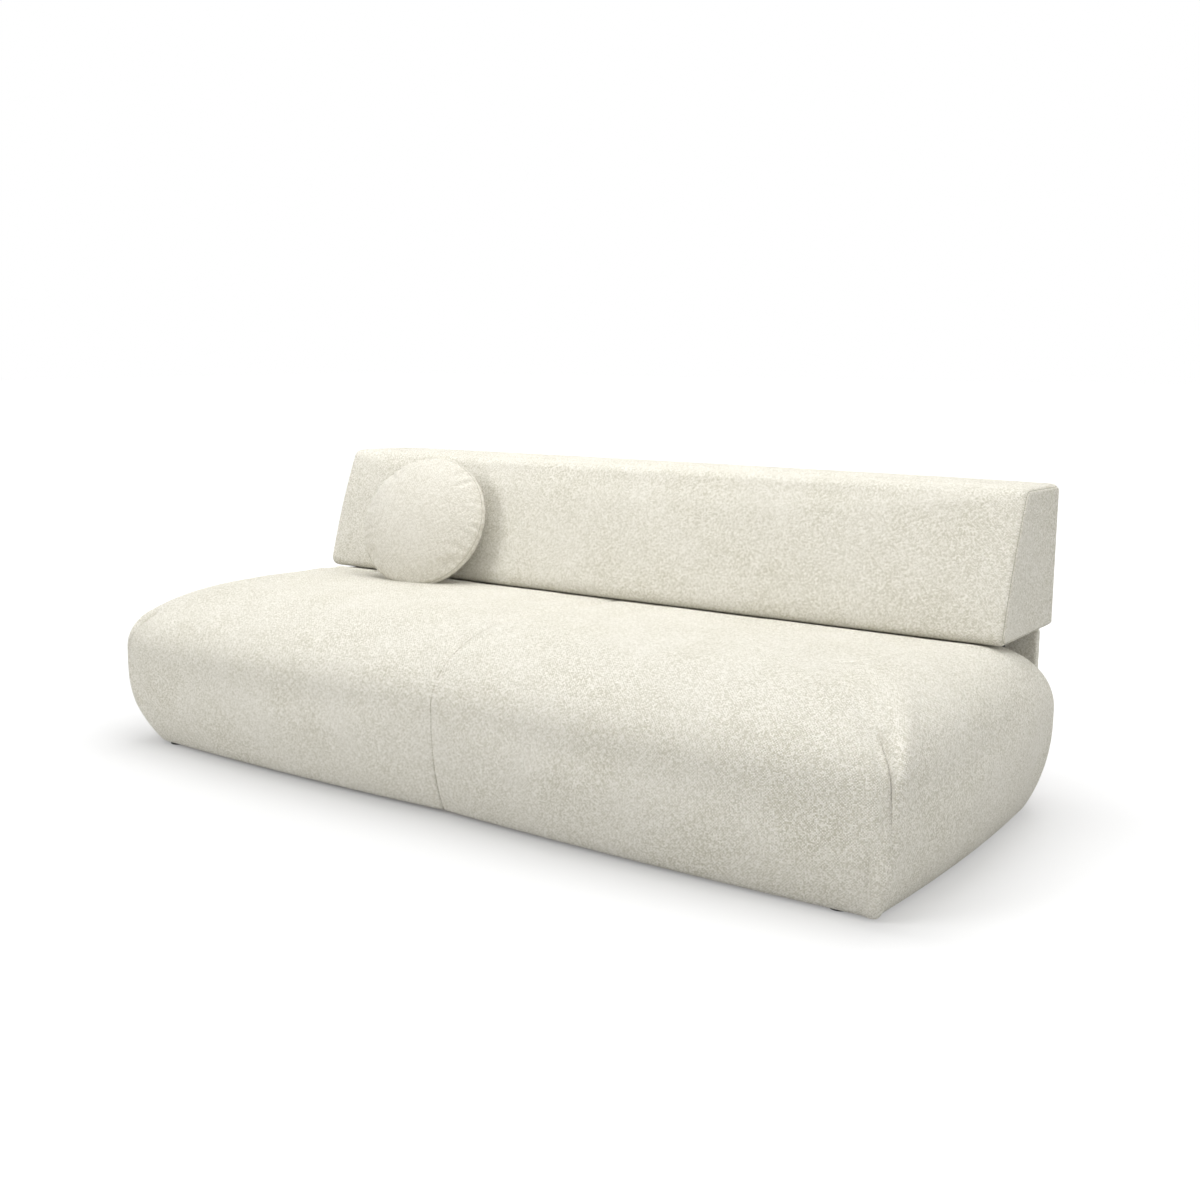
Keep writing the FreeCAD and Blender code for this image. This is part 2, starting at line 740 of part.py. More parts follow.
def backrest_frame():
    """Timber rails and uprights inside the backrest, and the covered board hung below them."""
    deep = ("arm_front", "slot_rear - frame_play")
    wide = ("0 - arm_x", "arm_x")
    bottom = box("backrest_bottom_rail", wide, deep, ("fold_z", "fold_z + back_rail"))
    top = box("backrest_top_rail", wide, deep, ("slot_top - frame_play - back_rail", "slot_top - frame_play"))
    posts = []
    for number, share in enumerate((0.0, 0.25, 0.5, 0.75, 1.0)):
        at = f"0 - arm_x + (2 * arm_x - back_rail) * {share}"
        posts.append(box(f"upright_{number}", (at, f"{at} + back_rail"), deep,
                         ("fold_z + back_rail", "slot_top - frame_play - back_rail")))
    apron = box("apron_board", ("0 - apron_half", "apron_half"),
                ("arm_rear + apron_gap", "arm_rear + apron_gap + apron_thick"), ("apron_low", "fold_z"))
    soft_edges = doc.addObject("Part::Fillet", "rear_apron")
    soft_edges.Base = apron
    doc.recompute()
    low_runs = []
    for number, edge in enumerate(apron.Shape.Edges, start=1):
        box_of_edge = edge.BoundBox
        if box_of_edge.ZMax < size("fold_z") and box_of_edge.XLength > box_of_edge.YLength:
            low_runs.append((number, size("apron_soft"), size("apron_soft")))
    soft_edges.Edges = low_runs
    return [bottom, top, group("backrest_uprights", posts), soft_edges]


def seat_frame():
    """Boards behind the seat's upholstery, the frame below it and two deck boards that carry it."""
    inner = "well_half - side_board"
    boards = ("board_low", "well_top")
    front_inner = "well_front + side_board"
    level = ("frame_low", "deck_low")
    along = (f"{front_inner} + frame_rail", "frame_rear")
    between = ("0 - well_half + side_board", inner)
    sill = box("seat_sill", ("0 - sill_half", "sill_half"), ("sill_front", front_inner),
               ("seat_bottom", "sill_top"))
    front_board = box("seat_front_board", between, ("well_front", front_inner), ("sill_top", "well_top"))
    side = box("seat_side_board_right", (inner, "well_half"), ("well_front", "side_board_rear"), boards)
    front_rail = box("seat_front_rail", between, (front_inner, f"{front_inner} + frame_rail"), level)
    rear_rail = box("seat_rear_rail", ("0 - rear_rail_half", "rear_rail_half"),
                    ("frame_rear - frame_rail", "frame_rear"), level)
    side_rail = box("seat_side_rail_right", ("bracket_x", inner), along, level)
    centre = box("seat_centre_rail", ("0 - frame_rail / 2", "frame_rail / 2"),
                 (along[0], "frame_rear - frame_rail"), level)
    deck = box("seat_deck_right", ("0", inner), (front_inner, "deck_rear"), ("deck_low", "well_top"))
    return [
        sill, front_board, side, mirror("seat_side_board_left", side),
        front_rail, rear_rail, side_rail, mirror("seat_side_rail_left", side_rail), centre,
        deck, mirror("seat_deck_left", deck),
    ]


def glides():
    """A low black roller glide under each end of the sill, and a timber block in the corner above."""
    front_inner = "well_front + side_board"
    half_slot = "(wheel_width / 2 + wheel_gap)"
    slot_run = "(wheel_radius + wheel_gap)"
    block = box("corner_block_right", ("glide_x - block_width / 2", "glide_x + block_width / 2"),
                (front_inner, f"{front_inner} + block_depth"), ("seat_bottom", "frame_low"))
    disc = peg("glide_disc", "glide_radius", "glide_x", "glide_y", ("glide_low", "seat_bottom"))
    slot = box("glide_slot", (f"glide_x - {half_slot}", f"glide_x + {half_slot}"),
               (f"glide_y - {slot_run}", f"glide_y + {slot_run}"),
               ("glide_low - overcut", "seat_bottom - glide_roof"))
    ends = ("glide_x - glide_radius + axle_inset", "glide_x + glide_radius - axle_inset")
    bore = rod("glide_bore", "wheel_axle", ends, "glide_y", "wheel_radius")
    housing = cut("glide_housing_right", disc, fuse("glide_hollow", slot, bore))
    axle = rod("glide_axle_right", "wheel_axle", ends, "glide_y", "wheel_radius")
    across = ("glide_x - wheel_width / 2", "glide_x + wheel_width / 2")
    tread = rod("wheel_tread", "wheel_radius", across, "glide_y", "wheel_radius")
    hub = rod("wheel_hub", "wheel_axle + running_play", (f"{across[0]} - overcut", f"{across[1]} + overcut"),
              "glide_y", "wheel_radius")
    wheel = cut("glide_wheel_right", tread, hub)
    pieces = [block, housing, axle, wheel]
    return pieces + [mirror(p.Label.replace("right", "left"), p) for p in pieces]


def rollers():
    """Rollers behind the seat, on brackets below its side rails, that run in the guide rails."""
    corners = [
        ("roller_y - bracket_top_half", "frame_low"),
        ("roller_y - bracket_low_half", "roller_z"),
        ("roller_y + bracket_low_half", "roller_z"),
        ("roller_y + bracket_top_half", "frame_low"),
    ]
    bracket = plate("roller_bracket_right", "bracket_x", "bracket_wall", corners,
                    [("roller_y", "roller_z", "bracket_eye")], [("roller_y", "roller_z", "roller_axle")])
    axle = rod("roller_axle_right", "roller_axle",
               ("roller_x - axle_proud", "bracket_x + bracket_wall"), "roller_y", "roller_z")
    tread = rod("roller_tread", "roller_radius",
                ("roller_x", "roller_x + roller_width"), "roller_y", "roller_z")
    hub = rod("roller_hub", "roller_axle + running_play",
              ("roller_x - overcut", "roller_x + roller_width + overcut"), "roller_y", "roller_z")
    roller = cut("guide_roller_right", tread, hub)
    pieces = [bracket, axle, roller]
    return pieces + [mirror(p.Label.replace("right", "left"), p) for p in pieces]


def build():
    """Every piece of the sofa bed, in the order in which it would be put together."""
    fill_sheet()
    pieces = base_frame() + storage_box() + guide_rails() + hinge_posts() + hinge_pins() + ratchet_wheels()
    pieces += seat_frame() + glides() + rollers() + seat_pads()
    pieces += backrest_frame() + hinge_arms() + [backrest_pad(), round_cushion()]
    doc.recompute()
    return pieces


def check(pieces):
    """Stops if any object failed to build or any piece isn't a sound solid."""
    for thing in doc.Objects:
        if "Invalid" in thing.State or "Error" in thing.State:
            raise RuntimeError(f"{thing.Label} failed to build: {thing.State}")
    for piece in pieces:
        shape = piece.Shape
        if shape.isNull() or not shape.isValid() or not shape.Solids:
            raise RuntimeError(f"{piece.Label} isn't a sound solid")


def write(pieces):
    """Writes each piece under its own name."""
    os.makedirs("parts", exist_ok=True)
    for piece in pieces:
        piece.Shape.exportStep(f"parts/{piece.Label}.step")
        limits = piece.Shape.BoundBox
        low = [round(v, 1) for v in (limits.XMin, limits.YMin, limits.ZMin)]
        high = [round(v, 1) for v in (limits.XMax, limits.YMax, limits.ZMax)]
        print(piece.Label, len(piece.Shape.Solids), low, high)


all_pieces = build()
check(all_pieces)
write(all_pieces)
print(len(all_pieces), "pieces")
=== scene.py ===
# %% [markdown]
# A storage sofa bed, dressed for its portrait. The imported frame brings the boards, the hinge gear and
# plain soft solids; this lesson replaces each soft solid with sewn, stuffed fabric, gives every rigid
# piece its finish, and sets the light, the floor and the camera of a plain studio.

# %% Load the frame
import json
import math

import bmesh
import bpy
import numpy as np
from mathutils import Euler, Matrix, Vector


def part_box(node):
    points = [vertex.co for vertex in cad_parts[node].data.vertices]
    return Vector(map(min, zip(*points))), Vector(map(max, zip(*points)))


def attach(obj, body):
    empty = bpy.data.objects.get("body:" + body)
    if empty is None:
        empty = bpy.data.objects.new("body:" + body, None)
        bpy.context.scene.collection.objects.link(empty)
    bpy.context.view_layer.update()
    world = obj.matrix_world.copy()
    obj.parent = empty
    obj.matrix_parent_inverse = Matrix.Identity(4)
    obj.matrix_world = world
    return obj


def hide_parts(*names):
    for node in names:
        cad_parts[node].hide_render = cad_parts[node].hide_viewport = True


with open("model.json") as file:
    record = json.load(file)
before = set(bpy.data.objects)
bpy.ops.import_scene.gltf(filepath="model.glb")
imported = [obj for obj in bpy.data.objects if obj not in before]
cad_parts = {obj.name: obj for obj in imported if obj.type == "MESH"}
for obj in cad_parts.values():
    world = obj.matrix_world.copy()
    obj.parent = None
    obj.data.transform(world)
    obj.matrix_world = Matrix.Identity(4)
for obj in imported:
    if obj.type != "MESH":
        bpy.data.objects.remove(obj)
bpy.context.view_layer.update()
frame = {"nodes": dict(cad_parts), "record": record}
scene = bpy.context.scene
scene.view_settings.view_transform = "Standard"
print("frame nodes:", len(frame["nodes"]))

# %% [markdown]
# The camera comes first, because every judgement about shape is made through it. Its place and lens
# were worked out from the straight edges of the sofa: it stands to the sitter's left, about 3.7 m away,
# a little above the backrest, and looks down by ten degrees.

# %% Camera
CAMERA_AT = Vector((2.1326, -2.8160, 1.0616))
CAMERA_YAW = math.radians(35.80)
CAMERA_PITCH = math.radians(10.07)
LENS_MM = 42.76
SENSOR_MM = 36.0

camera = bpy.data.objects.new("portrait_camera", bpy.data.cameras.new("portrait_camera"))
scene.collection.objects.link(camera)
camera.data.sensor_width = SENSOR_MM
camera.data.sensor_fit = "HORIZONTAL"
camera.data.lens = LENS_MM
camera.location = CAMERA_AT
camera.rotation_euler = Euler((math.pi / 2 - CAMERA_PITCH, 0.0, CAMERA_YAW))
scene.camera = camera
print("camera", tuple(round(v, 3) for v in CAMERA_AT))

# %% [markdown]
# Cloth is sewn from panels. A panel here is a grid of points with a flat pattern (its UV map) in metres,
# so that the weave follows the surface as it does on real fabric. Panels that share an edge are sewn by
# merging the points that fall together. A curve modifier or sculpting could give the shapes too, but a
# grid keeps edge loops along the seams, where the fabric tucks in.


# %% Sewing panels together
def sew(name, panels):
    """One mesh from several grids of points, each with its flat pattern in metres."""
    points = []
    quads = []
    pattern = []
    for grid, flat in panels:
        first = sum(len(p) for p in points)
        rows, columns = grid.shape[:2]
        points.append(grid.reshape(-1, 3))
        index = first + np.arange(rows * columns).reshape(rows, columns)
        quad = np.stack([index[:-1, :-1], index[:-1, 1:], index[1:, 1:], index[1:, :-1]], axis=-1)
        quads.append(quad.reshape(-1, 4))
        corners = [flat[:-1, :-1], flat[:-1, 1:], flat[1:, 1:], flat[1:, :-1]]
        pattern.append(np.stack(corners, axis=2).reshape(-1, 2))
    mesh = bpy.data.meshes.new(name)
    mesh.from_pydata(np.concatenate(points).tolist(), [], np.concatenate(quads).tolist())
    layer = mesh.uv_layers.new(name="pattern")
    layer.data.foreach_set("uv", np.concatenate(pattern).astype(np.float32).ravel())
    work = bmesh.new()
    work.from_mesh(mesh)
    bmesh.ops.remove_doubles(work, verts=work.verts, dist=1e-5)
    bmesh.ops.recalc_face_normals(work, faces=work.faces)
    work.to_mesh(mesh)
    work.free()
    piece = bpy.data.objects.new(name, mesh)
    scene.collection.objects.link(piece)
    return piece


def coons(front, rear, left, right):
    """A grid of points spanned between four edge lines: rows run from front to rear."""
    rows = len(left)
    columns = len(front)
    u = np.linspace(0.0, 1.0, columns)[None, :, None]
    v = np.linspace(0.0, 1.0, rows)[:, None, None]
    along = (1 - v) * front[None] + v * rear[None]
    across = (1 - u) * left[:, None] + u * right[:, None]
    corners = (1 - v) * ((1 - u) * front[0] + u * front[-1]) + v * ((1 - u) * rear[0] + u * rear[-1])
    return along + across - corners


def run_length(points):
    """How far along a line of points each point lies."""
    steps = np.linalg.norm(np.diff(points, axis=0), axis=1)
    return np.concatenate([[0.0], np.cumsum(steps)])


def points_of(piece):
    """The points of a mesh as an array."""
    flat = np.empty(len(piece.data.vertices) * 3, np.float32)
    piece.data.vertices.foreach_get("co", flat)
    return flat.reshape(-1, 3).astype(float)


def move_points(piece, places):
    """Puts the points of a mesh at new places."""
    piece.data.vertices.foreach_set("co", places.astype(np.float32).ravel())
    piece.data.update()


def normals_of(piece):
    """The outward direction at each point of a mesh."""
    flat = np.empty(len(piece.data.vertices) * 3, np.float32)
    piece.data.vertex_normals.foreach_get("vector", flat)
    return flat.reshape(-1, 3).astype(float)


def smooth(piece):
    """Shades a piece as a smooth surface."""
    piece.data.polygons.foreach_set("use_smooth", np.ones(len(piece.data.polygons), bool))


def settle(piece):
    """Applies a piece's modifiers, so that what shows is a plain mesh."""
    shown = piece.evaluated_get(bpy.context.evaluated_depsgraph_get())
    mesh = bpy.data.meshes.new_from_object(shown, preserve_all_data_layers=True,
                                           depsgraph=bpy.context.evaluated_depsgraph_get())
    piece.modifiers.clear()
    piece.data = mesh
    return piece


def subdivide(piece, levels):
    """Rounds a mesh by Catmull-Clark subdivision and keeps the result."""
    step = piece.modifiers.new("round", "SUBSURF")
    step.levels = levels
    step.render_levels = levels
    return settle(piece)


# %% [markdown]
# Stuffing is simulated: the sewn cover becomes cloth with air pressure inside, the seams are pinned, and
# after a few frames the fabric stands out between them. The move of each point is held to a limit, so
# that the cover stays the size of the sofa it belongs to.


# %% Stuffing a cover
STUFFING_FRAMES = 14


def stuff(piece, pinned, limit, pressure=4.0, spare=0.0):
    """Blows up a cover between its pinned points, each move held softly to a limit in metres."""
    rest = points_of(piece)
    pins = piece.vertex_groups.new(name="pins")
    pins.add([int(i) for i in np.nonzero(pinned)[0]], 1.0, "REPLACE")
    cloth = piece.modifiers.new("stuffing", "CLOTH")
    cloth.settings.quality = 3
    cloth.settings.mass = 0.3
    cloth.settings.tension_stiffness = 15.0
    cloth.settings.compression_stiffness = 15.0
    cloth.settings.bending_stiffness = 0.5
    cloth.settings.shrink_min = -spare
    cloth.settings.use_pressure = True
    cloth.settings.uniform_pressure_force = pressure
    cloth.settings.effector_weights.gravity = 0.0
    cloth.settings.vertex_group_mass = "pins"
    cloth.point_cache.frame_start = 1
    cloth.point_cache.frame_end = STUFFING_FRAMES
    for number in range(1, STUFFING_FRAMES + 1):
        scene.frame_set(number)
    settle(piece)
    move = points_of(piece) - rest
    reach = np.linalg.norm(move, axis=1, keepdims=True)
    held = limit * np.tanh(reach / limit) / np.maximum(reach, 1e-9)
    move_points(piece, rest + move * held)
    scene.frame_set(1)
    print(piece.name, "stuffed by up to", round(1000 * float(reach.max()), 1), "mm before the limit")
    return piece


# %% [markdown]
# The seat is two fat halves of one loaf, sewn together down the middle. Each half is drawn as a rounded
# box: level outlines stacked from the floor up, drawn in towards the floor and rounding over a deep
# shoulder, with a top panel between them. The corner of the front and side panels is where the dart is.

# %% Shape of the seat
SEAT_HALF = 1.150
SEAT_FRONT = -0.529
SEAT_REAR = 0.441
SEAT_LOW = 0.009
SEAT_BULGE = 0.222
SEAT_SHOULDER = 0.262
SEAT_CROWN = 0.4195
NOSE_SHOULDER = 0.2525
NOSE_CROWN = 0.399
NOSE_ROUND = 0.1465
SLOPE_START_Y = -0.110
SLOPE_END_Y = 0.294
DRAW_IN_FRONT = 0.038
DRAW_IN_SIDE = 0.057
TURN_UNDER = 0.003
ROUND_FRONT = 0.275
ROUND_SIDE = 0.230
ROUND_SIDE_REAR = 0.135
REAR_SIDE_FROM = -0.05
REAR_SIDE_RUN = 0.25
SIDE_FULLNESS = 2.5
CORNER = 0.070
CORNER_LOW = {1.0: 0.042, -1.0: 0.130}
CORNER_TOP = 0.110
REAR_CORNER = 0.150
BOW = 0.013
SEAM_TUCK = 0.0045
SEAM_RUN = 0.004
SEAM_STEPS = (0.0, 0.001, 0.002, 0.004, 0.007, 0.011, 0.017, 0.025, 0.036)
FRONT_COLUMNS = 62
CORNER_COLUMNS = 11
SIDE_COLUMNS = 46
SIDE_ROWS = 16
SHOULDER_ROWS = 16


def crown_at(y):
    """Height of the seat's top at a depth: level in front, sloping down under the backrest."""
    share = np.clip((y - SLOPE_START_Y) / (SLOPE_END_Y - SLOPE_START_Y), 0.0, 1.0)
    return SEAT_CROWN + (NOSE_CROWN - SEAT_CROWN) * share


def draw_in(z, depth):
    """How far a side is drawn in at a height, below the bulge."""
    fall = np.clip((SEAT_BULGE - z) / (SEAT_BULGE - SEAT_LOW), 0.0, 1.0)
    return depth * fall ** 2 + TURN_UNDER * fall ** 9


def side_round(turn):
    """How far the side has rounded back at a turn of the shoulder: full below and wide into the top."""
    left = np.clip(1 - np.sin(turn) ** SIDE_FULLNESS, 0.0, 1.0)
    return ROUND_SIDE * (1 - left ** (1 / SIDE_FULLNESS))


def corner_round(z, turn, sign):
    """Radius of the front corner: wide at the top, and at the floor tight on the right, wide on the left."""
    low = np.clip((SEAT_BULGE - z) / (SEAT_BULGE - SEAT_LOW), 0.0, 1.0)
    return CORNER * (1 - low ** 2) + CORNER_LOW[sign] * low ** 2 + CORNER_TOP * np.sin(turn) ** 2


def tuck(x):
    """How far the fabric dips towards the sewn middle."""
    return SEAM_TUCK * np.exp(-np.abs(x) / SEAM_RUN)


def columns_to(width):
    """Places of the columns from the sewn middle outwards, close together beside the seam."""
    start = 0.050
    return np.concatenate([SEAM_STEPS, np.linspace(start, width, FRONT_COLUMNS)])


def seat_outline(z, turn, sign):
    """One level line round a seat half: front panel, side panel and rear panel points."""
    back = 1.0 - math.cos(turn)
    half = SEAT_HALF - draw_in(z, DRAW_IN_SIDE) - side_round(turn)
    front = SEAT_FRONT + draw_in(z, DRAW_IN_FRONT) + ROUND_FRONT * back
    rear = SEAT_REAR - NOSE_ROUND * back
    give = side_round(turn) - ROUND_SIDE_REAR * back
    corner = corner_round(z, turn, sign)

    def corner_arc(start, end):
        angle = np.radians(np.linspace(start, end, CORNER_COLUMNS + 1))
        reach = corner - BOW * np.cos(2 * angle) ** 2
        return np.stack([half - corner + reach * np.sin(angle), front + corner - reach * np.cos(angle)], 1)

    def rear_arc(start, end):
        angle = np.radians(np.linspace(start, end, CORNER_COLUMNS + 1))
        x = half + give - BOW - REAR_CORNER * (1 - np.cos(angle))
        return np.stack([x, rear - REAR_CORNER * (1 - np.sin(angle))], 1)

    x = columns_to(half - corner)
    y = front + BOW * (2 * x / (half - corner) - 1) ** 2 + tuck(x)
    front_run = np.concatenate([np.stack([x, y], 1)[:-1], corner_arc(0, 45)])
    y = np.linspace(front + corner, rear - REAR_CORNER, SIDE_COLUMNS + 1)
    rearness = np.clip((y - REAR_SIDE_FROM) / REAR_SIDE_RUN, 0.0, 1.0)
    x = half - BOW * np.linspace(-1, 1, SIDE_COLUMNS + 1) ** 2 + give * rearness ** 2 * (3 - 2 * rearness)
    side_run = np.concatenate([corner_arc(45, 90)[:-1], np.stack([x, y], 1)[:-1], rear_arc(0, 45)])
    x = columns_to(half + give - BOW - REAR_CORNER)
    rear_run = np.concatenate([np.stack([x, np.full_like(x, rear)], 1)[:-1], rear_arc(90, 45)])
    return front_run, side_run, rear_run


def flat_pattern(grid, middle, climb):
    """The flat pattern of a panel: lengths along its rows from a middle column, and up its climbing axes."""
    along = np.stack([run_length(row) for row in grid])
    up = np.stack([run_length(grid[:, column][:, climb]) for column in range(grid.shape[1])], 1)
    return np.stack([along - along[:, middle, None], up - up[SIDE_ROWS]], -1)


def seat_panels(sign):
    """The six panels of a seat half: front, side, rear, top, floor and the sewn middle."""
    rows = [(z, 0.0) for z in np.linspace(SEAT_LOW, SEAT_SHOULDER, SIDE_ROWS + 1)]
    rows += [(SEAT_SHOULDER, math.pi / 2 * step / SHOULDER_ROWS) for step in range(1, SHOULDER_ROWS + 1)]
    grids = ([], [], [])
    for z, turn in rows:
        for grid, run in zip(grids, seat_outline(z, turn, sign)):
            rearness = np.clip((run[:, 1] - SLOPE_START_Y) / (SLOPE_END_Y - SLOPE_START_Y), 0, 1)
            base = SEAT_SHOULDER + (NOSE_SHOULDER - SEAT_SHOULDER) * rearness
            rounded = base + (crown_at(run[:, 1]) - base) * math.sin(turn)
            height = np.full(len(run), z) if turn == 0.0 else rounded
            height = height - tuck(run[:, 0]) * math.sin(turn) ** 2
            grid.append(np.concatenate([run, height[:, None]], 1))
    front, side, rear = (np.array(grid) for grid in grids)
    depth = np.linspace(0, 1, side.shape[1])[:, None]
    middle_top = (1 - depth) * front[-1, 0] + depth * rear[-1, 0]
    middle_low = (1 - depth) * front[0, 0] + depth * rear[0, 0]
    top = coons(front[-1], rear[-1], middle_top, side[-1])
    top[1:-1, 1:-1, 2] = crown_at(top[1:-1, 1:-1, 1]) - tuck(top[1:-1, 1:-1, 0])
    top[1:-1, 0, 2] = crown_at(top[1:-1, 0, 1]) - tuck(0.0)
    floor = coons(front[0], rear[0], middle_low, side[0])
    across = np.linspace(0, 1, side.shape[1])[None, :, None]
    middle = (1 - across) * front[:, :1] + across * rear[:, :1]
    middle[-1] = top[:, 0]
    panels = []
    side_middle = side.shape[1] // 2
    walls = ((front, 0, [1, 2]), (side, side_middle, [0, 2]), (rear, 0, [1, 2]))
    for grid, middle_column, climb in walls:
        panels.append([grid, flat_pattern(grid, middle_column, climb)])
    shoulder = panels[0][1][-1, 0, 1]
    panels.append([top, np.stack([top[..., 0], shoulder + top[..., 1] - top[0, 0, 1]], -1)])
    panels.append([floor, floor[..., :2]])
    panels.append([middle, middle[..., 1:]])
    for panel in panels:
        panel[0] = panel[0] * np.array([sign, 1.0, 1.0])
    return panels


# %% [markdown]
# The dart is a short sewn pinch at each front corner: it takes up the fabric that would otherwise pucker
# where the front turns into the side. It starts sharply near the top and dies away towards the floor.

# %% Sew and stuff the seat halves
DART_TOP = 0.368
DART_LOW = 0.110
DART_SLACK = 0.020
DART_FOLD = 0.012
DART_FOLD_RAMP = 0.35
DART_FOLD_RUN = 0.045
DART_CREASE = 0.020
DART_CREASE_RAMP = 0.05
DART_CREASE_RUN = 0.013
DART_PUFF = 0.006
DART_PUFF_RAMP = 0.10
DART_PUFF_AT = 0.034
DART_PUFF_RUN = 0.020
DART_LEAN = math.radians(15.0)
STUFFED_LIMIT = 0.006
ON_SEAM = 1e-4
FLOOR_BAND = 0.004
HIDDEN_FROM = 0.20
WELL_HALF = 1.050
WELL_FRONT = -0.440
WELL_TOP = 0.300
SILL_HALF = 1.012
SILL_FRONT = -0.462
SILL_TOP = 0.060


def dart_share(z):
    """How far down the dart a height is: 0 at its top and 1 at its foot."""
    return np.clip((DART_TOP - z) / (DART_TOP - DART_LOW), 0.0, 1.0)


def dart_angle(z):
    """Which way the dart faces at a height, turned from the front: its top leans to the front."""
    return math.pi / 4 - DART_LEAN * (1 - dart_share(z))


def dart_place(z, sign):
    """Where the dart's crease stands at a height, measured outwards from the sewn middle."""
    rise = np.clip((z - SEAT_SHOULDER) / (SEAT_CROWN - SEAT_SHOULDER), 0, 1)
    turn = np.arcsin(rise)
    angle = dart_angle(z)
    corner = corner_round(z, turn, sign)
    x = SEAT_HALF - draw_in(z, DRAW_IN_SIDE) - side_round(turn) - corner * (1 - np.sin(angle))
    front = SEAT_FRONT + draw_in(z, DRAW_IN_FRONT) + ROUND_FRONT * (1 - np.cos(turn))
    y = front + corner * (1 - np.cos(angle))
    return x, y


def press_dart(piece, sign):
    """Presses a soft fold with a sharp crease into the corner of a seat half."""
    places = points_of(piece)
    x, y = dart_place(places[:, 2], sign)
    angle = dart_angle(places[:, 2])
    right = places[:, 0] * sign - x
    back = places[:, 1] - y
    beside = right * np.cos(angle) + back * np.sin(angle)
    behind = np.abs(right * np.sin(angle) - back * np.cos(angle))
    off = np.hypot(beside, np.maximum(behind - DART_SLACK, 0.0))
    share = dart_share(places[:, 2])
    fold = DART_FOLD * np.clip(share / DART_FOLD_RAMP, 0, 1) * (1 - share) ** 0.8
    fold = fold * np.exp(-(off / DART_FOLD_RUN) ** 1.5)
    crease = DART_CREASE * np.clip(share / DART_CREASE_RAMP, 0, 1) * (1 - share) ** 1.1
    crease = crease * np.exp(-off / DART_CREASE_RUN)
    bulge = np.exp(-((beside - DART_PUFF_AT) / DART_PUFF_RUN) ** 2) * (behind < 4 * DART_SLACK)
    puff = DART_PUFF * np.clip(share / DART_PUFF_RAMP, 0, 1) * (1 - share) * bulge
    press = fold + crease - puff
    move_points(piece, places - normals_of(piece) * press[:, None])
    print(piece.name, "dart pressed in by up to", round(1000 * float(press.max()), 1), "mm")


def hollow(piece, low, high):
    """Takes a box-shaped space out of a piece."""
    size = Vector(high) - Vector(low)
    work = bmesh.new()
    bmesh.ops.create_cube(work, size=1.0)
    bmesh.ops.scale(work, vec=size, verts=work.verts)
    bmesh.ops.translate(work, vec=Vector(low) + size / 2, verts=work.verts)
    mesh = bpy.data.meshes.new("space")
    work.to_mesh(mesh)
    work.free()
    space = bpy.data.objects.new("space", mesh)
    scene.collection.objects.link(space)
    step = piece.modifiers.new("space", "BOOLEAN")
    step.operation = "DIFFERENCE"
    step.solver = "EXACT"
    step.object = space
    settle(piece)
    bpy.data.objects.remove(space)


seat_halves = []
for side, sign in (("right", 1.0), ("left", -1.0)):
    half = sew(f"seat_half_{side}", seat_panels(sign))
    places = points_of(half)
    sewn = np.abs(places[:, 0]) < ON_SEAM
    lowest = places[:, 2] < SEAT_LOW + FLOOR_BAND
    hidden = places[:, 1] > HIDDEN_FROM
    stuff(half, sewn | lowest | hidden, STUFFED_LIMIT)
    subdivide(half, 1)
    press_dart(half, sign)
    edge = 0.02
    x = sorted((-sign * edge, sign * WELL_HALF))
    hollow(half, (x[0], WELL_FRONT, -edge), (x[1], SEAT_REAR + edge, WELL_TOP))
    x = sorted((-sign * edge, sign * SILL_HALF))
    hollow(half, (x[0], SILL_FRONT, -edge), (x[1], WELL_FRONT + edge, SILL_TOP))
    smooth(half)
    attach(half, "seat")
    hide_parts(f"seat_pad_{side}")
    seat_halves.append(half)
    print(half.name, len(half.data.polygons), "faces")

# %% [markdown]
# The backrest is a long wedge: one wrapped panel over its front, top, rear and underside, closed at each
# end by a flat panel sewn in. The seam shows as a fine dark line where the two panels meet, painted as
# dark stitches that stand in for the seam's shade.

# %% Shape of the backrest
BACK_HALF = 1.050
BACK_CORNERS = ((0.186, 0.406), (0.309, 0.751), (0.529, 0.746), (0.529, 0.406))
BACK_ROUNDS = (0.024, 0.030, 0.018, 0.012)
BACK_CROWN = 0.006
END_ROUND = 0.012
END_SEAM_DEPTH = 0.0035
END_SEAM_RUN = 0.004
END_CROWN = 0.005
END_DRAW = 0.004
END_STEPS = np.array([0.0, 0.0015, 0.003, 0.005, 0.008, 0.012, 0.018, 0.026, 0.038])
END_CLEAR = 0.055
LENGTH_COLUMNS = 126
ARC_COLUMNS = 6
FACE_COLUMNS = 30
EDGE_COLUMNS = 20


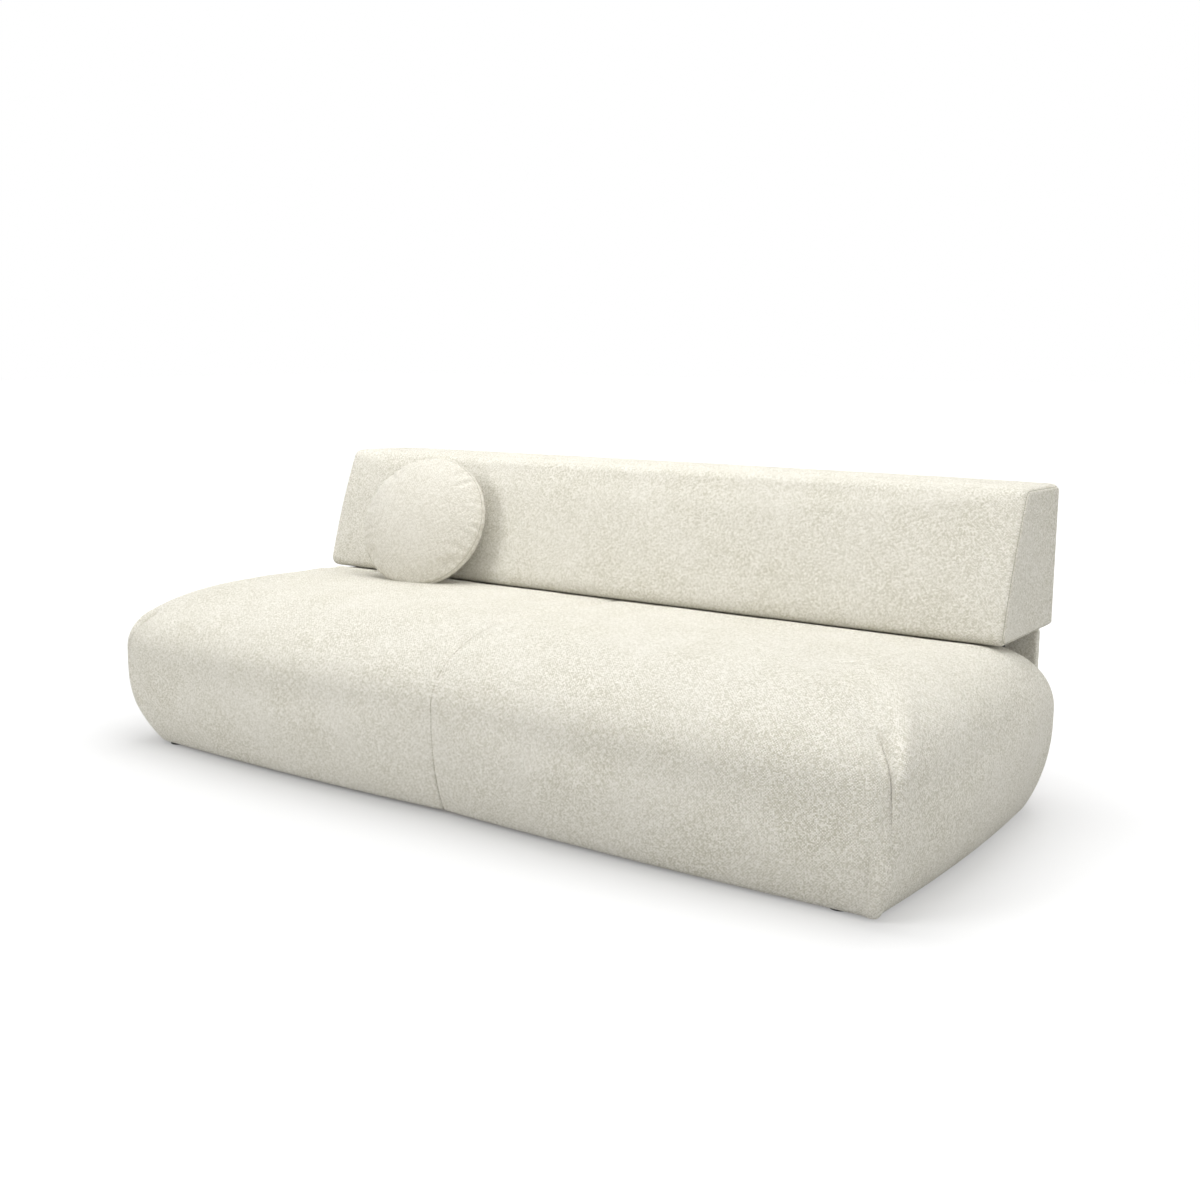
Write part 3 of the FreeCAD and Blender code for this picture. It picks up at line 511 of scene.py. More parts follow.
def wedge_edges(inset):
    """The four sides of the wedge's section, each from the middle of one rounded corner to the next."""
    corners = [Vector(c) for c in BACK_CORNERS]
    arcs = []
    for number, here in enumerate(corners):
        back = (corners[number - 1] - here).normalized()
        onward = (corners[(number + 1) % 4] - here).normalized()
        half_angle = back.angle(onward) / 2
        radius = BACK_ROUNDS[number]
        centre = here + (back + onward).normalized() * (radius / math.sin(half_angle))
        start = here + back * (radius / math.tan(half_angle)) - centre
        end = here + onward * (radius / math.tan(half_angle)) - centre
        a = math.atan2(start.y, start.x)
        sweep = (math.atan2(end.y, end.x) - a + math.pi) % (2 * math.pi) - math.pi
        angle = a + sweep * np.linspace(0, 1, 2 * ARC_COLUMNS + 1)
        reach = radius - min(inset, 0.6 * radius)
        arcs.append(np.stack([centre.x + reach * np.cos(angle), centre.y + reach * np.sin(angle)], 1))
    edges = []
    for number in range(4):
        first = arcs[number][ARC_COLUMNS:]
        last = arcs[(number + 1) % 4][:ARC_COLUMNS + 1]
        count = FACE_COLUMNS if number % 2 == 0 else EDGE_COLUMNS
        share = np.linspace(0, 1, count + 1)[:, None]
        run = (1 - share) * first[-1] + share * last[0]
        if number == 0:
            out = np.array([-(last[0] - first[-1])[1], (last[0] - first[-1])[0]])
            run = run + out / np.linalg.norm(out) * BACK_CROWN * (1 - (2 * share - 1) ** 2)
        edges.append(np.concatenate([first[:-1], run, last[1:]]))
    return edges


def end_inset(gap):
    """How far the wrapped panel is drawn in at a distance from the end seam."""
    soft = 1 - np.sqrt(np.clip(1 - (1 - np.clip(gap / END_ROUND, 0, 1)) ** 2, 0, 1))
    return END_DRAW * soft + END_SEAM_DEPTH * np.exp(-gap / END_SEAM_RUN)


def backrest_panels():
    """The wrapped panel's four faces and the two end panels."""
    middle = np.linspace(-BACK_HALF + END_CLEAR, BACK_HALF - END_CLEAR, LENGTH_COLUMNS)
    stations = np.concatenate([-BACK_HALF + END_STEPS, middle, (BACK_HALF - END_STEPS)[::-1]])
    rings = []
    for x in stations:
        edges = wedge_edges(end_inset(BACK_HALF - abs(x)))
        rings.append([np.concatenate([np.full((len(e), 1), x), e], 1) for e in edges])
    panels = []
    start = 0.0
    for number in range(4):
        grid = np.array([ring[number] for ring in rings])
        along = start + run_length(grid[len(rings) // 2])
        start = along[-1]
        panels.append((grid, np.stack(np.broadcast_arrays(grid[..., 0], along[None, :]), -1)))
    for ring, sign in ((rings[0], -1.0), (rings[-1], 1.0)):
        front, top, rear, floor = ring
        grid = coons(front, rear[::-1], floor[::-1], top)
        u = np.linspace(-1, 1, grid.shape[1])[None, :]
        v = np.linspace(-1, 1, grid.shape[0])[:, None]
        puff = np.minimum(1 - np.abs(u) ** 6, 1 - np.abs(v) ** 6)
        grid[..., 0] += sign * END_CROWN * np.sqrt(np.clip(puff, 0, 1))
        panels.append((grid, grid[..., 1:].copy()))
    return panels


# %% Sew and stuff the backrest
SLOT_HALF = 0.978
SLOT_FRONT = 0.447
SLOT_REAR = 0.491
SLOT_TOP = 0.702
SLOT_LOW = 0.380
BACK_STUFFED = 0.004
PIN_END = 0.02
PIN_BELOW = 0.43
PIN_BEHIND = 0.515

backrest = sew("backrest_cover", backrest_panels())
places = points_of(backrest)
pinned = BACK_HALF - np.abs(places[:, 0]) < PIN_END
pinned = pinned | (places[:, 2] < PIN_BELOW) | (places[:, 1] > PIN_BEHIND)
stuff(backrest, pinned, BACK_STUFFED, pressure=2.0)
subdivide(backrest, 1)
hollow(backrest, (-SLOT_HALF, SLOT_FRONT, SLOT_LOW), (SLOT_HALF, SLOT_REAR, SLOT_TOP))
smooth(backrest)
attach(backrest, "backrest")
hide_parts("backrest_pad")
print(backrest.name, len(backrest.data.polygons), "faces")

# %% [markdown]
# Below the backrest hangs a board wrapped in the same fabric, which closes the gap behind the seat. It is
# thinly padded, so its edges are round but its faces stay almost flat.

# %% Rear apron
APRON_ROUND = 0.006
APRON_END_RUN = 0.01
APRON_STEPS = (0.0, 0.002, 0.005, 0.010)
APRON_CLEAR = 0.03
APRON_COLUMNS = 90
APRON_COUNTS = (24, 6, 24, 6)


def apron_panels():
    """A thin padded board: a wrapped ring of points, with small end panels."""
    low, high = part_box("rear_apron")
    stations = np.concatenate([[low.x + d for d in APRON_STEPS],
                               np.linspace(low.x + APRON_CLEAR, high.x - APRON_CLEAR, APRON_COLUMNS),
                               [high.x - d for d in APRON_STEPS[::-1]]])
    rings = []
    for x in stations:
        near_end = 1 - min(1.0, min(x - low.x, high.x - x) / APRON_END_RUN)
        inset = APRON_ROUND * (1 - math.sqrt(max(0.0, 1 - near_end ** 2)))
        y0, y1 = low.y + 0.6 * inset, high.y - 0.6 * inset
        z0, z1 = low.z + inset, high.z - inset
        corners = [np.array(c) for c in ((y0, z0), (y0, z1), (y1, z1), (y1, z0))]
        ring = []
        for number, count in enumerate(APRON_COUNTS):
            share = np.linspace(0, 1, count + 1)[:, None]
            a, b = corners[number], corners[(number + 1) % 4]
            run = (1 - share) * a + share * b
            pull = APRON_ROUND * (np.exp(-share * count / 1.6) + np.exp(-(1 - share) * count / 1.6)) * 0.45
            inward = np.array([(y0 + y1) / 2, (z0 + z1) / 2]) - run
            inward = np.sign(inward) * np.minimum(np.abs(inward), 1.0)
            ring.append(run + inward / np.maximum(np.linalg.norm(inward, axis=1, keepdims=True), 1e-6) * pull)
        rings.append([np.concatenate([np.full((len(e), 1), x), e], 1) for e in ring])
    panels = []
    for number in range(4):
        grid = np.array([ring[number] for ring in rings])
        along = run_length(grid[len(rings) // 2])
        panels.append((grid, np.stack(np.broadcast_arrays(grid[..., 0], along[None, :]), -1)))
    for ring in (rings[0], rings[-1]):
        grid = coons(ring[0], ring[2][::-1], ring[3][::-1], ring[1])
        panels.append((grid, grid[..., 1:].copy()))
    return panels


apron = sew("apron_cover", apron_panels())
subdivide(apron, 1)
smooth(apron)
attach(apron, "backrest")
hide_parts("rear_apron")
print(apron.name, len(apron.data.polygons), "faces")

# %% [markdown]
# The round cushion is two discs and a band, sewn with a little spare fabric, so that the faces pucker
# along the seams when it is stuffed. It leans on the backrest and is flat where it stands on the seat.

# %% Round cushion
CUSHION_RADIUS = 0.187
CUSHION_BAND = 0.018
CUSHION_CROWN = 0.060
CUSHION_FULLNESS = 2.0
CUSHION_SOFTNESS = 0.75
PUCKER = 0.0015
PUCKER_FROM = 0.76
BAND_SWELL = 0.022
CUSHION_STUFFED = 0.006
CUSHION_SPARE = 0.022
SEAT_GAP = 0.0015
BACK_GAP = 0.006
CUSHION_AT = Vector((-0.608, 0.136, 0.5755))
BACK_LEAN = math.atan2(0.309 - 0.186, 0.751 - 0.406)
CUSHION_LEAN = BACK_LEAN + math.radians(5.0)
CUSHION_TURN = math.radians(11.0)
DISC_COLUMNS = 72
BAND_ROWS = 8


def cushion_panels():
    """Two crowned discs and the band between them, about the cushion's own middle, facing +Z."""
    quarter = np.linspace(0, math.pi / 2, DISC_COLUMNS + 1)
    rim = []
    for turn in range(4):
        angle = quarter + turn * math.pi / 2 - 3 * math.pi / 4
        rim.append(np.stack([np.cos(angle), np.sin(angle), np.zeros_like(angle)], 1) * CUSHION_RADIUS)
    disc = coons(rim[0], rim[2][::-1], rim[3][::-1], rim[1])
    share = np.clip(np.linalg.norm(disc[..., :2], axis=-1) / CUSHION_RADIUS, 0, 1)
    panels = []
    for sign in (1.0, -1.0):
        grid = disc.copy()
        dome = (1 - share ** CUSHION_FULLNESS) ** CUSHION_SOFTNESS
        grid[..., 2] = sign * (CUSHION_BAND / 2 + CUSHION_CROWN * dome)
        panels.append((grid, disc[..., :2].copy()))
    height = np.linspace(-1, 1, BAND_ROWS + 1)
    for number, run in enumerate(rim):
        out = 1 + BAND_SWELL * (1 - height ** 2)
        grid = run[None] * np.stack([out, out, np.zeros_like(out)], 1)[:, None]
        grid[..., 2] = height[:, None] * CUSHION_BAND / 2
        along = (quarter + number * math.pi / 2) * CUSHION_RADIUS
        flat = np.stack(np.broadcast_arrays(along[None, :], grid[:, :, 2]), -1)
        panels.append((grid, flat))
    return panels


cushion = sew("cushion_cover", cushion_panels())
places = points_of(cushion)
radius = np.linalg.norm(places[:, :2], axis=1)
on_seam = np.abs(np.abs(places[:, 2]) - CUSHION_BAND / 2) < ON_SEAM
on_seam = on_seam & (radius > CUSHION_RADIUS - ON_SEAM)
angle = np.arctan2(places[:, 1], places[:, 0])
ripple = np.sin(31 * angle + 0.6) + 0.8 * np.sin(47 * angle + 2.1) + 0.5 * np.sin(13 * angle)
ripple *= PUCKER * (0.6 + 0.4 * np.sin(3 * angle + 1.0) + 0.3 * np.sin(7 * angle + 2.5))
near_rim = np.clip((radius / CUSHION_RADIUS - PUCKER_FROM) / (1 - PUCKER_FROM), 0, 1)
places[:, 2] += np.sign(places[:, 2]) * ripple * near_rim * ~on_seam
move_points(cushion, places)
stuff(cushion, on_seam, CUSHION_STUFFED, pressure=2.0, spare=CUSHION_SPARE)
subdivide(cushion, 1)
tilt = Matrix.Rotation(CUSHION_TURN, 4, "Z") @ Matrix.Rotation(math.pi / 2 - CUSHION_LEAN, 4, "X")
cushion.data.transform(Matrix.Translation(CUSHION_AT) @ tilt)
places = points_of(cushion)
places[:, 2] = np.maximum(places[:, 2], crown_at(places[:, 1]) + SEAT_GAP)
slope = math.tan(BACK_LEAN)
face = BACK_CORNERS[0][0] + (places[:, 2] - BACK_CORNERS[0][1]) * slope - BACK_CROWN - BACK_GAP
places[:, 1] = np.minimum(places[:, 1], face)
move_points(cushion, places)
smooth(cushion)
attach(cushion, "cushion")
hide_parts("round_cushion")
print(cushion.name, len(cushion.data.polygons), "faces")

# %% [markdown]
# The fabric is a chunky, slubby weave in cream. Its yarns are worked out from the flat pattern: two sets of
# rounded threads that pass over and under each other, pushed about by noise. Each crossing has a tone of
# its own, and the gaps between are painted darker, as shade. One node group gives the height and the
# specks, with that painted gap shade, to every fabric.


# %% Weave group
def add(tree, kind, **inputs):
    """A node with some of its sockets set or linked, each named by its words with _ for spaces."""
    node = tree.nodes.new(kind)
    for name, value in inputs.items():
        numbered = name[0] == "i" and name[1:].isdigit()
        socket = node.inputs[int(name[1:]) if numbered else name.replace("_", " ")]
        if isinstance(value, bpy.types.NodeSocket):
            tree.links.new(value, socket)
        else:
            socket.default_value = value
    return node


def maths(tree, operation, first, second=0.5):
    """A math node's result."""
    node = add(tree, "ShaderNodeMath", i0=first, i1=second)
    node.operation = operation
    return node.outputs[0]


def weave_group():
    """Yarn height, and specks with painted shade in the gaps between yarns, from a flat pattern in metres."""
    tree = bpy.data.node_groups.new("slub weave", "ShaderNodeTree")
    face = tree.interface
    face.new_socket("Pattern", in_out="INPUT", socket_type="NodeSocketVector")
    face.new_socket("Threads per metre", in_out="INPUT", socket_type="NodeSocketFloat").default_value = 300.0
    face.new_socket("Looseness", in_out="INPUT", socket_type="NodeSocketFloat").default_value = 1.0
    face.new_socket("Height", in_out="OUTPUT", socket_type="NodeSocketFloat")
    face.new_socket("Speck and gap shade", in_out="OUTPUT", socket_type="NodeSocketFloat")
    face.new_socket("Drift", in_out="OUTPUT", socket_type="NodeSocketFloat")
    given = tree.nodes.new("NodeGroupInput")
    result = tree.nodes.new("NodeGroupOutput")
    scaled = add(tree, "ShaderNodeVectorMath", i0=given.outputs["Pattern"])
    scaled.operation = "SCALE"
    tree.links.new(given.outputs["Threads per metre"], scaled.inputs["Scale"])
    stir = add(tree, "ShaderNodeTexNoise", Vector=scaled.outputs[0], Scale=0.35, Detail=3.0, Roughness=0.6)
    centred = add(tree, "ShaderNodeVectorMath", i0=stir.outputs["Color"], i1=(0.5, 0.5, 0.5))
    centred.operation = "SUBTRACT"
    loose = add(tree, "ShaderNodeVectorMath", i0=centred.outputs[0])
    loose.operation = "SCALE"
    tree.links.new(maths(tree, "MULTIPLY", given.outputs["Looseness"], 2.2), loose.inputs["Scale"])
    moved = add(tree, "ShaderNodeVectorMath", i0=scaled.outputs[0], i1=loose.outputs[0])
    parts = add(tree, "ShaderNodeSeparateXYZ", Vector=moved.outputs[0])
    u, v = parts.outputs[0], parts.outputs[1]
    warp = maths(tree, "ABSOLUTE", maths(tree, "SINE", maths(tree, "MULTIPLY", u, math.pi)))
    weft = maths(tree, "ABSOLUTE", maths(tree, "SINE", maths(tree, "MULTIPLY", v, math.pi)))
    crossings = maths(tree, "ADD", maths(tree, "FLOOR", u), maths(tree, "FLOOR", v))
    over = maths(tree, "MODULO", maths(tree, "ABSOLUTE", crossings), 2.0)
    yarn = add(tree, "ShaderNodeMix", Factor=over, A=warp, B=weft)
    dip = maths(tree, "MULTIPLY", warp, weft)
    fuzz = add(tree, "ShaderNodeTexNoise", Vector=moved.outputs[0], Scale=1.7, Detail=4.0, Roughness=0.7)
    ridge = maths(tree, "MULTIPLY", yarn.outputs[0], 0.45)
    body = maths(tree, "ADD", ridge, maths(tree, "MULTIPLY", dip, 0.35))
    height = maths(tree, "ADD", body, maths(tree, "MULTIPLY", fuzz.outputs[0], 0.7))
    crossing = add(tree, "ShaderNodeVectorMath", i0=moved.outputs[0])
    crossing.operation = "FLOOR"
    dyed = add(tree, "ShaderNodeTexWhiteNoise", Vector=crossing.outputs[0])
    turned = maths(tree, "MULTIPLY", over, 0.28)
    mixed = maths(tree, "ADD", turned, maths(tree, "MULTIPLY", dyed.outputs["Value"], 0.72))
    tone = add(tree, "ShaderNodeMapRange", Value=mixed, From_Min=0.28, From_Max=0.72)
    # Painted shade: the colour darkens where the yarns part, in the gaps between them.
    gap = add(tree, "ShaderNodeMapRange", Value=dip, From_Min=0.55, From_Max=0.0)
    drift = add(tree, "ShaderNodeTexNoise", Vector=given.outputs["Pattern"], Scale=5.0, Detail=2.0)
    tree.links.new(height, result.inputs["Height"])
    dark_yarn = maths(tree, "MULTIPLY", tone.outputs[0], 0.75)
    painted_gap_shade = maths(tree, "MULTIPLY", gap.outputs[0], 0.25)
    tree.links.new(maths(tree, "ADD", dark_yarn, painted_gap_shade), result.inputs["Speck and gap shade"])
    tree.links.new(drift.outputs[0], result.inputs["Drift"])
    return tree


WEAVE = weave_group()


def colour_mix(tree, factor, first, second):
    """One colour or another, by a factor that changes over the surface."""
    node = tree.nodes.new("ShaderNodeMix")
    node.data_type = "RGBA"
    for socket, value in ((node.inputs[0], factor), (node.inputs[6], first), (node.inputs[7], second)):
        if isinstance(value, bpy.types.NodeSocket):
            tree.links.new(value, socket)
        else:
            socket.default_value = value
    return node.outputs[2]


def start_material(name):
    """An empty material with a Principled shader."""
    material = bpy.data.materials.new(name)
    material.use_nodes = True
    return material, material.node_tree, material.node_tree.nodes["Principled BSDF"]


def fabric(name, cream, shade, threads, looseness, relief):
    """A slubby woven cover."""
    material, tree, shader = start_material(name)
    pattern = tree.nodes.new("ShaderNodeUVMap")
    pattern.uv_map = "pattern"
    weave = tree.nodes.new("ShaderNodeGroup")
    weave.node_tree = WEAVE
    tree.links.new(pattern.outputs[0], weave.inputs["Pattern"])
    weave.inputs["Threads per metre"].default_value = threads
    weave.inputs["Looseness"].default_value = looseness
    speckled = colour_mix(tree, weave.outputs["Speck and gap shade"], cream, shade)
    worn = tuple(0.94 * c for c in cream[:3]) + (1.0,)
    soft = add(tree, "ShaderNodeMapRange", Value=weave.outputs["Drift"],
               From_Min=0.35, From_Max=0.75, To_Max=0.35)
    tree.links.new(colour_mix(tree, soft.outputs[0], speckled, worn), shader.inputs["Base Color"])
    shader.inputs["Roughness"].default_value = 0.92
    shader.inputs["Specular IOR Level"].default_value = 0.2
    shader.inputs["Sheen Weight"].default_value = 0.15
    shader.inputs["Sheen Roughness"].default_value = 0.6
    bump = add(tree, "ShaderNodeBump", Strength=relief, Distance=0.002, Height=weave.outputs["Height"])
    tree.links.new(bump.outputs[0], shader.inputs["Normal"])
    return material


# The second colour of each fabric is its darker one: it gives the dark-dyed crossings, and the painted shade
# in the gaps between yarns.
CREAM = (0.985, 0.955, 0.87, 1.0)
CREAM_SHADE = (0.54, 0.51, 0.385, 1.0)
cover_fabric = fabric("cream slub weave", CREAM, CREAM_SHADE, 325.0, 0.5, 1.0)
CUSHION_CREAM = (0.76, 0.735, 0.66, 1.0)
CUSHION_SHADE = (0.54, 0.51, 0.42, 1.0)
cushion_fabric = fabric("cream soft weave", CUSHION_CREAM, CUSHION_SHADE, 280.0, 0.5, 0.8)
for piece in seat_halves + [backrest, apron]:
    piece.data.materials.clear()
    piece.data.materials.append(cover_fabric)
cushion.data.materials.clear()
cushion.data.materials.append(cushion_fabric)
print("fabrics:", cover_fabric.name, "and", cushion_fabric.name)

# %% [markdown]
# A seam shows as a fine dark line sunk between two panels: stitches of thread in a greyish colour darker
# than the cover, which paints the shade of the seam. Each line is a curve, and a small Geometry Nodes tree
# lays one short stitch after another along it, because a stitch is a thing that repeats.


# %% Stitched seams
def stitch_tree():
    """Lays short stitches along a curve."""
    tree = bpy.data.node_groups.new("stitches", "GeometryNodeTree")
    face = tree.interface
    face.new_socket("Line", in_out="INPUT", socket_type="NodeSocketGeometry")
    for name, value in (("Pitch", 0.005), ("Stitch", 0.0049), ("Thread", 0.0011)):
        face.new_socket(name, in_out="INPUT", socket_type="NodeSocketFloat").default_value = value
    face.new_socket("Thread finish", in_out="INPUT", socket_type="NodeSocketMaterial")
    face.new_socket("Seam", in_out="OUTPUT", socket_type="NodeSocketGeometry")
    given = tree.nodes.new("NodeGroupInput")
    result = tree.nodes.new("NodeGroupOutput")
    spaced = tree.nodes.new("GeometryNodeResampleCurve")
    spaced.mode = "LENGTH"
    tree.links.new(given.outputs["Line"], spaced.inputs["Curve"])
    tree.links.new(given.outputs["Pitch"], spaced.inputs["Length"])
    bead = tree.nodes.new("GeometryNodeMeshUVSphere")
    bead.inputs["Segments"].default_value = 6
    bead.inputs["Rings"].default_value = 4
    bead.inputs["Radius"].default_value = 1.0
    size = tree.nodes.new("ShaderNodeCombineXYZ")
    half = add(tree, "ShaderNodeMath", i0=given.outputs["Stitch"], i1=0.5)
    half.operation = "MULTIPLY"
    tree.links.new(given.outputs["Thread"], size.inputs[0])
    tree.links.new(given.outputs["Thread"], size.inputs[1])
    tree.links.new(half.outputs[0], size.inputs[2])
    tangent = tree.nodes.new("GeometryNodeInputTangent")
    turn = tree.nodes.new("FunctionNodeAlignRotationToVector")
    turn.axis = "Z"
    tree.links.new(tangent.outputs[0], turn.inputs["Vector"])
    laid = tree.nodes.new("GeometryNodeInstanceOnPoints")
    tree.links.new(spaced.outputs[0], laid.inputs["Points"])
    tree.links.new(bead.outputs["Mesh"], laid.inputs["Instance"])
    tree.links.new(turn.outputs[0], laid.inputs["Rotation"])
    tree.links.new(size.outputs[0], laid.inputs["Scale"])
    real = tree.nodes.new("GeometryNodeRealizeInstances")
    tree.links.new(laid.outputs[0], real.inputs[0])
    finish = tree.nodes.new("GeometryNodeSetMaterial")
    tree.links.new(real.outputs[0], finish.inputs["Geometry"])
    tree.links.new(given.outputs["Thread finish"], finish.inputs["Material"])
    tree.links.new(finish.outputs[0], result.inputs[0])
    return tree


STITCHES = stitch_tree()


def thread_and_seam_shade_finish():
    """Sewing thread, a little uneven, greyish and darker than the cover, which paints the shade of the seam
    line.
    """
    material, tree, shader = start_material("seam thread painted dark as shade")
    where = tree.nodes.new("ShaderNodeTexCoord")
    twist = add(tree, "ShaderNodeTexNoise", Vector=where.outputs["Object"], Scale=600.0)
    # Painted shade: the thread's greyish colour, darker than the cover, stands in for the shade in the seam.
    colour = colour_mix(tree, twist.outputs[0], (0.34, 0.32, 0.25, 1.0), (0.46, 0.44, 0.36, 1.0))
    tree.links.new(colour, shader.inputs["Base Color"])
    shader.inputs["Roughness"].default_value = 0.8
    return material


THREAD_AND_SEAM_SHADE = thread_and_seam_shade_finish()


def stitch(name, lines, body, closed):
    """A seam of stitches along one or more lines of points, riding on a body."""
    curve = bpy.data.curves.new(name, "CURVE")
    curve.dimensions = "3D"
    for points in lines:
        spline = curve.splines.new("POLY")
        spline.points.add(len(points) - 1)
        padded = np.concatenate([points, np.ones((len(points), 1))], 1)
        spline.points.foreach_set("co", padded.astype(np.float32).ravel())
        spline.use_cyclic_u = closed
    line = bpy.data.objects.new(name + "_line", curve)
    scene.collection.objects.link(line)
    step = line.modifiers.new("stitches", "NODES")
    step.node_group = STITCHES
    finish_input = STITCHES.interface.items_tree["Thread finish"].identifier
    step[finish_input] = THREAD_AND_SEAM_SHADE
    graph = bpy.context.evaluated_depsgraph_get()
    mesh = bpy.data.meshes.new_from_object(line.evaluated_get(graph), depsgraph=graph)
    bpy.data.objects.remove(line)
    piece = bpy.data.objects.new(name, mesh)
    scene.collection.objects.link(piece)
    smooth(piece)
    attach(piece, body)
    print(name, len(mesh.polygons), "faces")
    return piece


def end_seam(sign):
    """The closed line of a backrest end seam."""
    edges = wedge_edges(end_inset(0.0))
    ring = np.concatenate([edge[:-1] for edge in edges])
    return np.concatenate([np.full((len(ring), 1), sign * (BACK_HALF + 0.0005)), ring], 1)


def cushion_seam(sign):
    """The closed line of one of the cushion's seams, in place on the sofa."""
    angle = np.linspace(0, 2 * math.pi, 200, endpoint=False)
    level = np.full_like(angle, sign * CUSHION_BAND / 2 / CUSHION_RADIUS)
    ring = np.stack([np.cos(angle), np.sin(angle), level], 1)
    placed = Matrix.Translation(CUSHION_AT) @ tilt
    points = np.array([placed @ Vector(p) for p in ring * CUSHION_RADIUS])
    points[:, 2] = np.maximum(points[:, 2], crown_at(points[:, 1]) + 0.0025)
    return points


stitch("backrest_end_seams", [end_seam(1.0), end_seam(-1.0)], "backrest", True)
stitch("cushion_seams", [cushion_seam(1.0), cushion_seam(-1.0)], "cushion", True)

# %% [markdown]
# The rigid pieces keep the frame's own meshes, and get finishes: planed timber, birch ply, black powder
# coat, zinc plate and moulded plastic. Grain and speckle come from Object coordinates, so that they stay
# with a piece as it moves.


# %% Finishes of the rigid pieces
def grained(name, pale, dark, along, roughness):
    """Wood with long grain along one axis."""
    material, tree, shader = start_material(name)
    where = tree.nodes.new("ShaderNodeTexCoord")
    stretch = tuple(2.0 if axis == along else 38.0 for axis in "xyz")
    mapped = add(tree, "ShaderNodeMapping", Vector=where.outputs["Object"], Scale=stretch)
    bands = add(tree, "ShaderNodeTexNoise", Vector=mapped.outputs[0], Scale=1.0, Detail=5.0, Distortion=1.2)
    pores = add(tree, "ShaderNodeTexNoise", Vector=mapped.outputs[0], Scale=9.0, Detail=2.0)
    ring = add(tree, "ShaderNodeMapRange", Value=bands.outputs[0], From_Min=0.35, From_Max=0.68)
    tone = colour_mix(tree, ring.outputs[0], pale, dark)
    fleck = add(tree, "ShaderNodeMapRange", Value=pores.outputs[0], From_Min=0.55, From_Max=0.75, To_Max=0.35)
    tree.links.new(colour_mix(tree, fleck.outputs[0], tone, dark), shader.inputs["Base Color"])
    sanded = add(tree, "ShaderNodeMapRange", Value=pores.outputs[0],
                 To_Min=roughness - 0.1, To_Max=roughness + 0.1)
    tree.links.new(sanded.outputs[0], shader.inputs["Roughness"])
    bump = add(tree, "ShaderNodeBump", Strength=0.2, Distance=0.0006, Height=pores.outputs[0])
    tree.links.new(bump.outputs[0], shader.inputs["Normal"])
    return material


def speckled(name, colour, spread, metallic, roughness, grain):
    """A coated, plated or moulded surface with fine texture."""
    material, tree, shader = start_material(name)
    where = tree.nodes.new("ShaderNodeTexCoord")
    fine = add(tree, "ShaderNodeTexNoise", Vector=where.outputs["Object"], Scale=grain, Detail=3.0)
    broad = add(tree, "ShaderNodeTexNoise", Vector=where.outputs["Object"], Scale=14.0, Detail=3.0)
    other = tuple(min(1.0, c * spread) for c in colour[:3]) + (1.0,)
    tree.links.new(colour_mix(tree, broad.outputs[0], colour, other), shader.inputs["Base Color"])
    shader.inputs["Metallic"].default_value = metallic
    rough = add(tree, "ShaderNodeMapRange", Value=broad.outputs[0],
                To_Min=roughness - 0.1, To_Max=roughness + 0.12)
    tree.links.new(rough.outputs[0], shader.inputs["Roughness"])
    bump = add(tree, "ShaderNodeBump", Strength=0.25, Distance=0.0004, Height=fine.outputs[0])
    tree.links.new(bump.outputs[0], shader.inputs["Normal"])
    return material


PINE = ((0.62, 0.43, 0.24, 1.0), (0.46, 0.28, 0.13, 1.0))
BIRCH = ((0.70, 0.55, 0.37, 1.0), (0.58, 0.42, 0.26, 1.0))
pine = {axis: grained(f"planed pine along {axis}", *PINE, axis, 0.6) for axis in "xyz"}
birch = {axis: grained(f"birch ply along {axis}", *BIRCH, axis, 0.5) for axis in "xyz"}
FINISHES = {
    "dark_steel": speckled("black powder coat", (0.028, 0.028, 0.030, 1.0), 1.6, 0.0, 0.5, 900.0),
    "zinc_steel": speckled("zinc plate", (0.60, 0.61, 0.62, 1.0), 0.8, 1.0, 0.38, 300.0),
    "black_plastic": speckled("moulded black plastic", (0.012, 0.012, 0.013, 1.0), 1.7, 0.0, 0.5, 700.0),
}
slots = {part["node"]: part["material_slot"] for part in frame["record"]["subparts"]}
for name, node in frame["nodes"].items():
    if slots[name] in ("upholstery", "cushion_fabric"):
        continue
    low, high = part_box(name)
    longest = "xyz"[max(range(3), key=lambda axis: high[axis] - low[axis])]
    wood = {"timber": pine, "board": birch}.get(slots[name])
    node.data.materials.clear()
    node.data.materials.append(wood[longest] if wood else FINISHES[slots[name]])
print("rigid finishes:", len(FINISHES) + len(pine) + len(birch))

# %% [markdown]
# The studio: a wide pale floor, a white room, a broad soft lamp overhead and two more further off, to the
# front left and to the right. The floor is lifted to white for the camera alone, so that the lamps stay at
# a plain level and the sofa keeps its soft shadow. The lift is lowered round a point in front of the sofa:
# this evens out the lit floor under the overhead lamp, and paints a broad soft shade on the floor in front.

# %% Studio
LAMP_HEIGHT = 3.5
# Depth of a dip in the floor's lift, and the point in front of the sofa that it centres on: painted shade on
# the floor there.
PAINTED_SHADE_DIP = 0.56
PAINTED_SHADE_MIDDLE = (-0.3, -0.55, 0.0)
FLOOR_LIFT = 0.70
FLOOR_PALE = 0.58
FLOOR_HALF = 40.0
ROOM_LIGHT = 0.62
SOFA_MIDDLE = (0.0, 0.0, 0.35)
work = bmesh.new()
bmesh.ops.create_grid(work, x_segments=1, y_segments=1, size=FLOOR_HALF)
floor_mesh = bpy.data.meshes.new("studio_floor")
work.to_mesh(floor_mesh)
work.free()
floor = bpy.data.objects.new("studio_floor", floor_mesh)
scene.collection.objects.link(floor)
floor_paint, tree, shader = start_material("pale floor")
shader.inputs["Base Color"].default_value = (FLOOR_PALE, FLOOR_PALE, FLOOR_PALE, 1.0)
shader.inputs["Roughness"].default_value = 0.9
